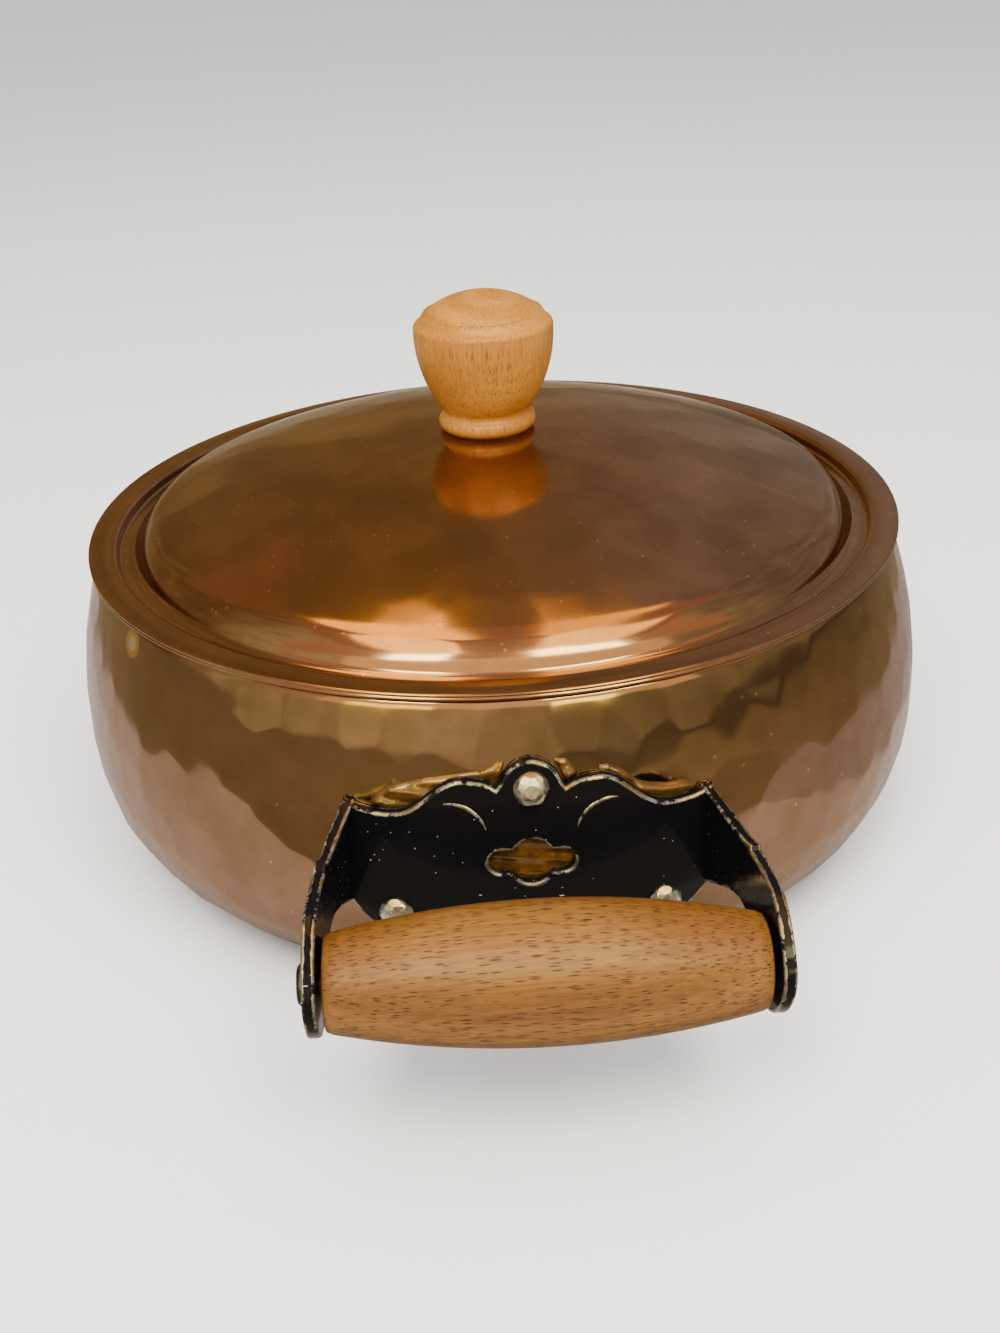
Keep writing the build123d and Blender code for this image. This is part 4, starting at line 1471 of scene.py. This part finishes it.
@dataclass
class Studio:
    """Camera, floor and soft light."""

    target: Point3 = (0.0, 0.0, 0.03853)
    distance: float = 0.46879
    elevation: float = math.radians(28.4)
    azimuth: float = math.radians(-2.4)
    roll: float = 0.05
    lens: float = 39.16
    sensor: float = 36.0
    grounds: tuple = (
        ("board", (-0.285, -0.165), (0.285, 0.6), -0.0002, (0.30, 0.265, 0.245, 1.0)),
        ("room_floor", (-12, -12), (12, 12), -0.0006, (0.45, 0.37, 0.19, 1.0)),
        ("board_shade", (0.172, -0.165), (0.285, 0.6), -0.0001, (0.19, 0.165, 0.155, 1.0)),
        ("room_shade", (0.285, -12), (12, 12), -0.0003, (0.12, 0.1, 0.056, 1.0)),
    )
    panes: tuple = (
        ("skylight_left", (-0.6, -0.3, 1.3), (-0.1, 0.5, 1.3), (1.0, 0.52, 0.09, 1.0), 5.3),
        ("skylight_left_front", (-0.82, -1.15, 1.3), (-0.3, -0.3, 1.3), (1.0, 0.6, 0.18, 1.0), 5.5),
        ("skylight_right", (0.14, -0.3, 1.3), (0.55, 0.44, 1.3), (1.0, 0.49, 0.09, 1.0), 3.7),
        ("skylight_right_front", (0.2, -1.15, 1.3), (0.85, -0.3, 1.3), (1.0, 0.62, 0.2, 1.0), 5.0),
        ("skylight_far", (-1.4, 0.55, 1.3), (-0.62, 1.4, 1.3), (1.0, 0.52, 0.22, 1.0), 0.4),
        ("ceiling", (-1.1, -1.15, 1.32), (1.1, 0.36, 1.32), (1.0, 0.5, 0.32, 1.0), 0.55),
        ("window_left", (-1.02, -1.3, 1.0), (-0.47, -1.3, 2.4), (1.0, 0.98, 0.55, 1.0), 18.0),
        ("window_right", (0.2, -1.3, 1.0), (1.0, -1.3, 2.4), (1.0, 0.94, 0.45, 1.0), 16.0),
        ("sill_left", (-1.12, -1.31, 0.33), (-0.45, -1.31, 0.5), (1.0, 0.96, 0.14, 1.0), 6.0),
        ("sill_right", (0.25, -1.31, 0.32), (0.66, -1.31, 0.5), (1.0, 0.9, 0.22, 1.0), 9.0),
        ("front_glow", (-1.5, -1.32, 0.36), (1.5, -1.32, 1.1), (1.0, 0.7, 0.36, 1.0), 1.9),
        ("front_wall", (-4.0, -1.36, 1.1), (4.0, -1.36, 4.5), (1.0, 0.55, 0.3, 1.0), 0.9),
    )

    def camera(self) -> None:
        """Sets the camera where the photograph was taken."""
        back = Vector((
            math.sin(self.azimuth) * math.cos(self.elevation),
            -math.cos(self.azimuth) * math.cos(self.elevation),
            math.sin(self.elevation),
        ))
        level = Vector((0, 0, 1)).cross(back).normalized()
        upright = back.cross(level)
        right = (level - upright * self.roll).normalized()
        up = back.cross(right)
        data = bpy.data.cameras.new("camera")
        data.lens = self.lens
        data.sensor_width = self.sensor
        data.clip_start = 0.01
        camera = bpy.data.objects.new("camera", data)
        camera.matrix_world = Matrix.Translation(Vector(self.target) + back * self.distance) @ Matrix(
            (right, up, back)
        ).transposed().to_4x4()
        bpy.context.scene.collection.objects.link(camera)
        bpy.context.scene.camera = camera

    def sheet(
        self, name: str, low: Point2, high: Point2, height: float, colour: Colour, rough: float
    ) -> Object:
        """Lays a flat staged surface.

        Args:
            name: Its name.
            low: Its lowest corner.
            high: Its highest corner.
            height: Its height.
            colour: Its colour.
            rough: Its roughness.

        Returns:
            The staged surface.
        """
        bm = bmesh.new()
        bmesh.ops.create_grid(bm, x_segments=1, y_segments=1, size=0.5)
        bmesh.ops.scale(bm, vec=(high[0] - low[0], high[1] - low[1], 1), verts=bm.verts)
        middle = ((low[0] + high[0]) / 2, (low[1] + high[1]) / 2, height)
        bmesh.ops.translate(bm, vec=middle, verts=bm.verts)
        mesh = bpy.data.meshes.new(name)
        bm.to_mesh(mesh)
        bm.free()
        material, _, shader = new_material(name, Roughness=rough)
        shader.inputs["Base Color"].default_value = colour
        mesh.materials.append(material)
        sheet = bpy.data.objects.new(name, mesh)
        bpy.context.scene.collection.objects.link(sheet)
        return sheet

    def floor(self) -> None:
        """Lays the pale floor, and what the copper reflects of a pale board in a brown room."""
        floor = self.sheet("floor", (-12, -12), (12, 12), -0.0004, (0.9, 0.9, 0.9, 1.0), 0.8)
        floor.visible_glossy = False
        for name, low, high, height, colour in self.grounds:
            self.hide(self.sheet(name, low, high, height, colour, 0.8))

    @staticmethod
    def hide(sheet: Object) -> None:
        """Hides a staged surface from all but reflections."""
        sheet.visible_camera = False
        sheet.visible_diffuse = False
        sheet.visible_shadow = False

    def pane(self, name: str, low: Point3, high: Point3, colour: Colour, strength: float) -> None:
        """Hangs a bright pane that only the copper and the other shiny pieces reflect.

        Args:
            name: Its name.
            low: Its lowest corner.
            high: Its opposite corner, level with the first or straight above it.
            colour: Its colour.
            strength: Its brightness.
        """
        level = low[2] == high[2]
        flat = [(corner[0], corner[1] if level else corner[2]) for corner in (low, high)]
        height = low[2] if level else -low[1]
        pane = self.sheet(name, flat[0], flat[1], height, (0.0, 0.0, 0.0, 1.0), 1.0)
        if not level:
            pane.data.transform(Matrix.Rotation(math.radians(90), 4, "X"))
        shader = pane.data.materials[0].node_tree.nodes["Principled BSDF"]
        shader.inputs["Emission Color"].default_value = colour
        shader.inputs["Emission Strength"].default_value = strength
        self.hide(pane)

    def lamp(
        self, name: str, toward: Point2, reach: float, size: Point2, power: float, colour: Point3
    ) -> None:
        """Hangs a soft rectangular lamp that faces the pot and that nothing reflects.

        Args:
            name: Its name.
            toward: Its direction from the pot as azimuth and elevation in degrees; azimuth 0 is at -Y.
            reach: Its distance.
            size: Its width and height.
            power: Its power in watts.
            colour: Its colour.
        """
        data = bpy.data.lights.new(name, "AREA")
        data.shape = "RECTANGLE"
        data.size, data.size_y = size
        data.energy = power
        data.color = colour
        turn, climb = (math.radians(angle) for angle in toward)
        way = Vector((math.sin(turn) * math.cos(climb), -math.cos(turn) * math.cos(climb), math.sin(climb)))
        lamp = bpy.data.objects.new(name, data)
        lamp.location = Vector((0, -0.1, 0.1)) + way * reach
        lamp.rotation_mode = "QUATERNION"
        lamp.rotation_quaternion = (-way).to_track_quat("-Z", "Y")
        lamp.visible_glossy = False
        bpy.context.scene.collection.objects.link(lamp)

    def light(self) -> None:
        """Sets the white room light, the brown room that the copper reflects, and the lamps."""
        world = bpy.data.worlds.new("room")
        world.use_nodes = True
        bpy.context.scene.world = world
        graph = Graph(world.node_tree)
        around = graph.node("TexCoord").outputs["Generated"]
        parts = graph.node("SeparateXYZ", {0: around}).outputs
        behind = graph.steps(parts[1], -0.35, 0.25)
        side = graph.steps(parts[0], -0.1, 0.45)
        back = graph.mix(side, (0.33, 0.2, 0.075, 1.0), (0.36, 0.29, 0.24, 1.0))
        front = graph.mix(side, (0.86, 0.73, 0.42, 1.0), (0.5, 0.44, 0.26, 1.0))
        room = graph.mix(behind, front, back)
        clutter = graph.steps(graph.noise(around, 9.0, 2.0), 0.35, 0.65, (0.78, 1.18))
        room = graph.node("VectorMath", {0: room, "Scale": clutter}, operation="SCALE").outputs[0]
        shiny = graph.node("LightPath").outputs["Is Glossy Ray"]
        tone = graph.mix(shiny, (1.0, 1.0, 1.0, 1.0), room)
        background = world.node_tree.nodes["Background"]
        world.node_tree.links.new(tone, background.inputs[0])
        background.inputs[1].default_value = 1.0
        for name, low, high, colour, strength in self.panes:
            self.pane(name, low, high, colour, strength)
        self.lamp("front_left", (-24, 54), 1.3, (0.5, 0.55), 22.0, (1.0, 0.96, 0.86))
        self.lamp("front_right", (28, 54), 1.3, (0.5, 0.5), 17.0, (1.0, 0.95, 0.84))
        self.lamp("overhead", (20, 80), 1.6, (1.2, 1.2), 20.0, (1.0, 1.0, 1.0))


def main() -> None:
    """Builds every sub-assembly in order."""
    effects = Effects()
    studio = Studio()
    studio.camera()
    studio.floor()
    studio.light()
    body_copper = CopperFinish(
        "body_copper", (0.36, 0.22, 0.15, 1.0), (0.3, 0.19, 0.11, 1.0), (0.2, 0.11, 0.05, 1.0), 0.1,
        ring=(-99.6 * MM, -66.3 * MM, 89.1 * MM),
    ).material(effects)
    lid_copper = CopperFinish(
        "lid_copper", (0.42, 0.26, 0.165, 1.0), (0.36, 0.225, 0.14, 1.0), (0.24, 0.13, 0.07, 1.0), 0.1,
        0.3, 0.3,
    ).material(effects)
    tin = TinFinish().material(effects)
    enamel = EnamelFinish().material(effects)
    rivet_steel = SteelFinish(
        "rivet_steel", (0.72, 0.74, 0.74, 1.0), (0.42, 0.42, 0.42, 1.0), 0.28
    ).material(effects)
    rod_steel = SteelFinish(
        "rod_steel", (0.09, 0.085, 0.08, 1.0), (0.03, 0.028, 0.026, 1.0)
    ).material(effects)
    lacquer = LacquerFinish().material(effects)
    PotShell().build(body_copper)
    Lid().build(lid_copper)
    knob_wood = WoodFinish(
        "knob_wood", (0.42, 0.185, 0.021, 1.0), (0.34, 0.13, 0.012, 1.0), (0.13, 0.045, 0.005, 1.0),
        (0.0, math.radians(90), 0.0), (0.0, 0.0, 0.0), 120.0, 0.25,
    ).material(effects)
    Knob().build(knob_wood)
    grip_wood = WoodFinish(
        "grip_wood", (0.19, 0.082, 0.014, 1.0), (0.13, 0.048, 0.007, 1.0), (0.02, 0.007, 0.002, 1.0),
        (0.0, 0.0, 0.0), (0.0, 0.155, -0.03), 90.0, 0.48,
    ).material(effects)
    for end in End:
        handle = Handle(end)
        handle.grip(grip_wood)
        handle.bracket(enamel)
        for place, spot in RIVET_SPOTS.items():
            handle.rivet(place, spot, rivet_steel)
        handle.lacquer("window_lacquer", WINDOW_LACQUER, (0.0, 0.9 * MM), lacquer)
        if end is End.FRONT:
            for name, outline in LACQUER_RUNS.items():
                handle.lacquer(name, outline, (-0.2 * MM, 0.7 * MM), lacquer)
    nodes = frame["nodes"]
    carried = {
        "pot_tin_lining": tin, "lid_tin_lining": tin, "knob_washer": rod_steel, "knob_screw": rod_steel,
    }
    for end in ("front", "rear"):
        carried[f"{end}_grip_rod"] = rod_steel
    for name, material in carried.items():
        nodes[name].data.materials.clear()
        nodes[name].data.materials.append(material)
        log.info("%s: dressed with %s", name, material.name)


if __name__ == "__main__":
    logging.basicConfig(level=logging.INFO, format="%(name)s: %(message)s")
    main()
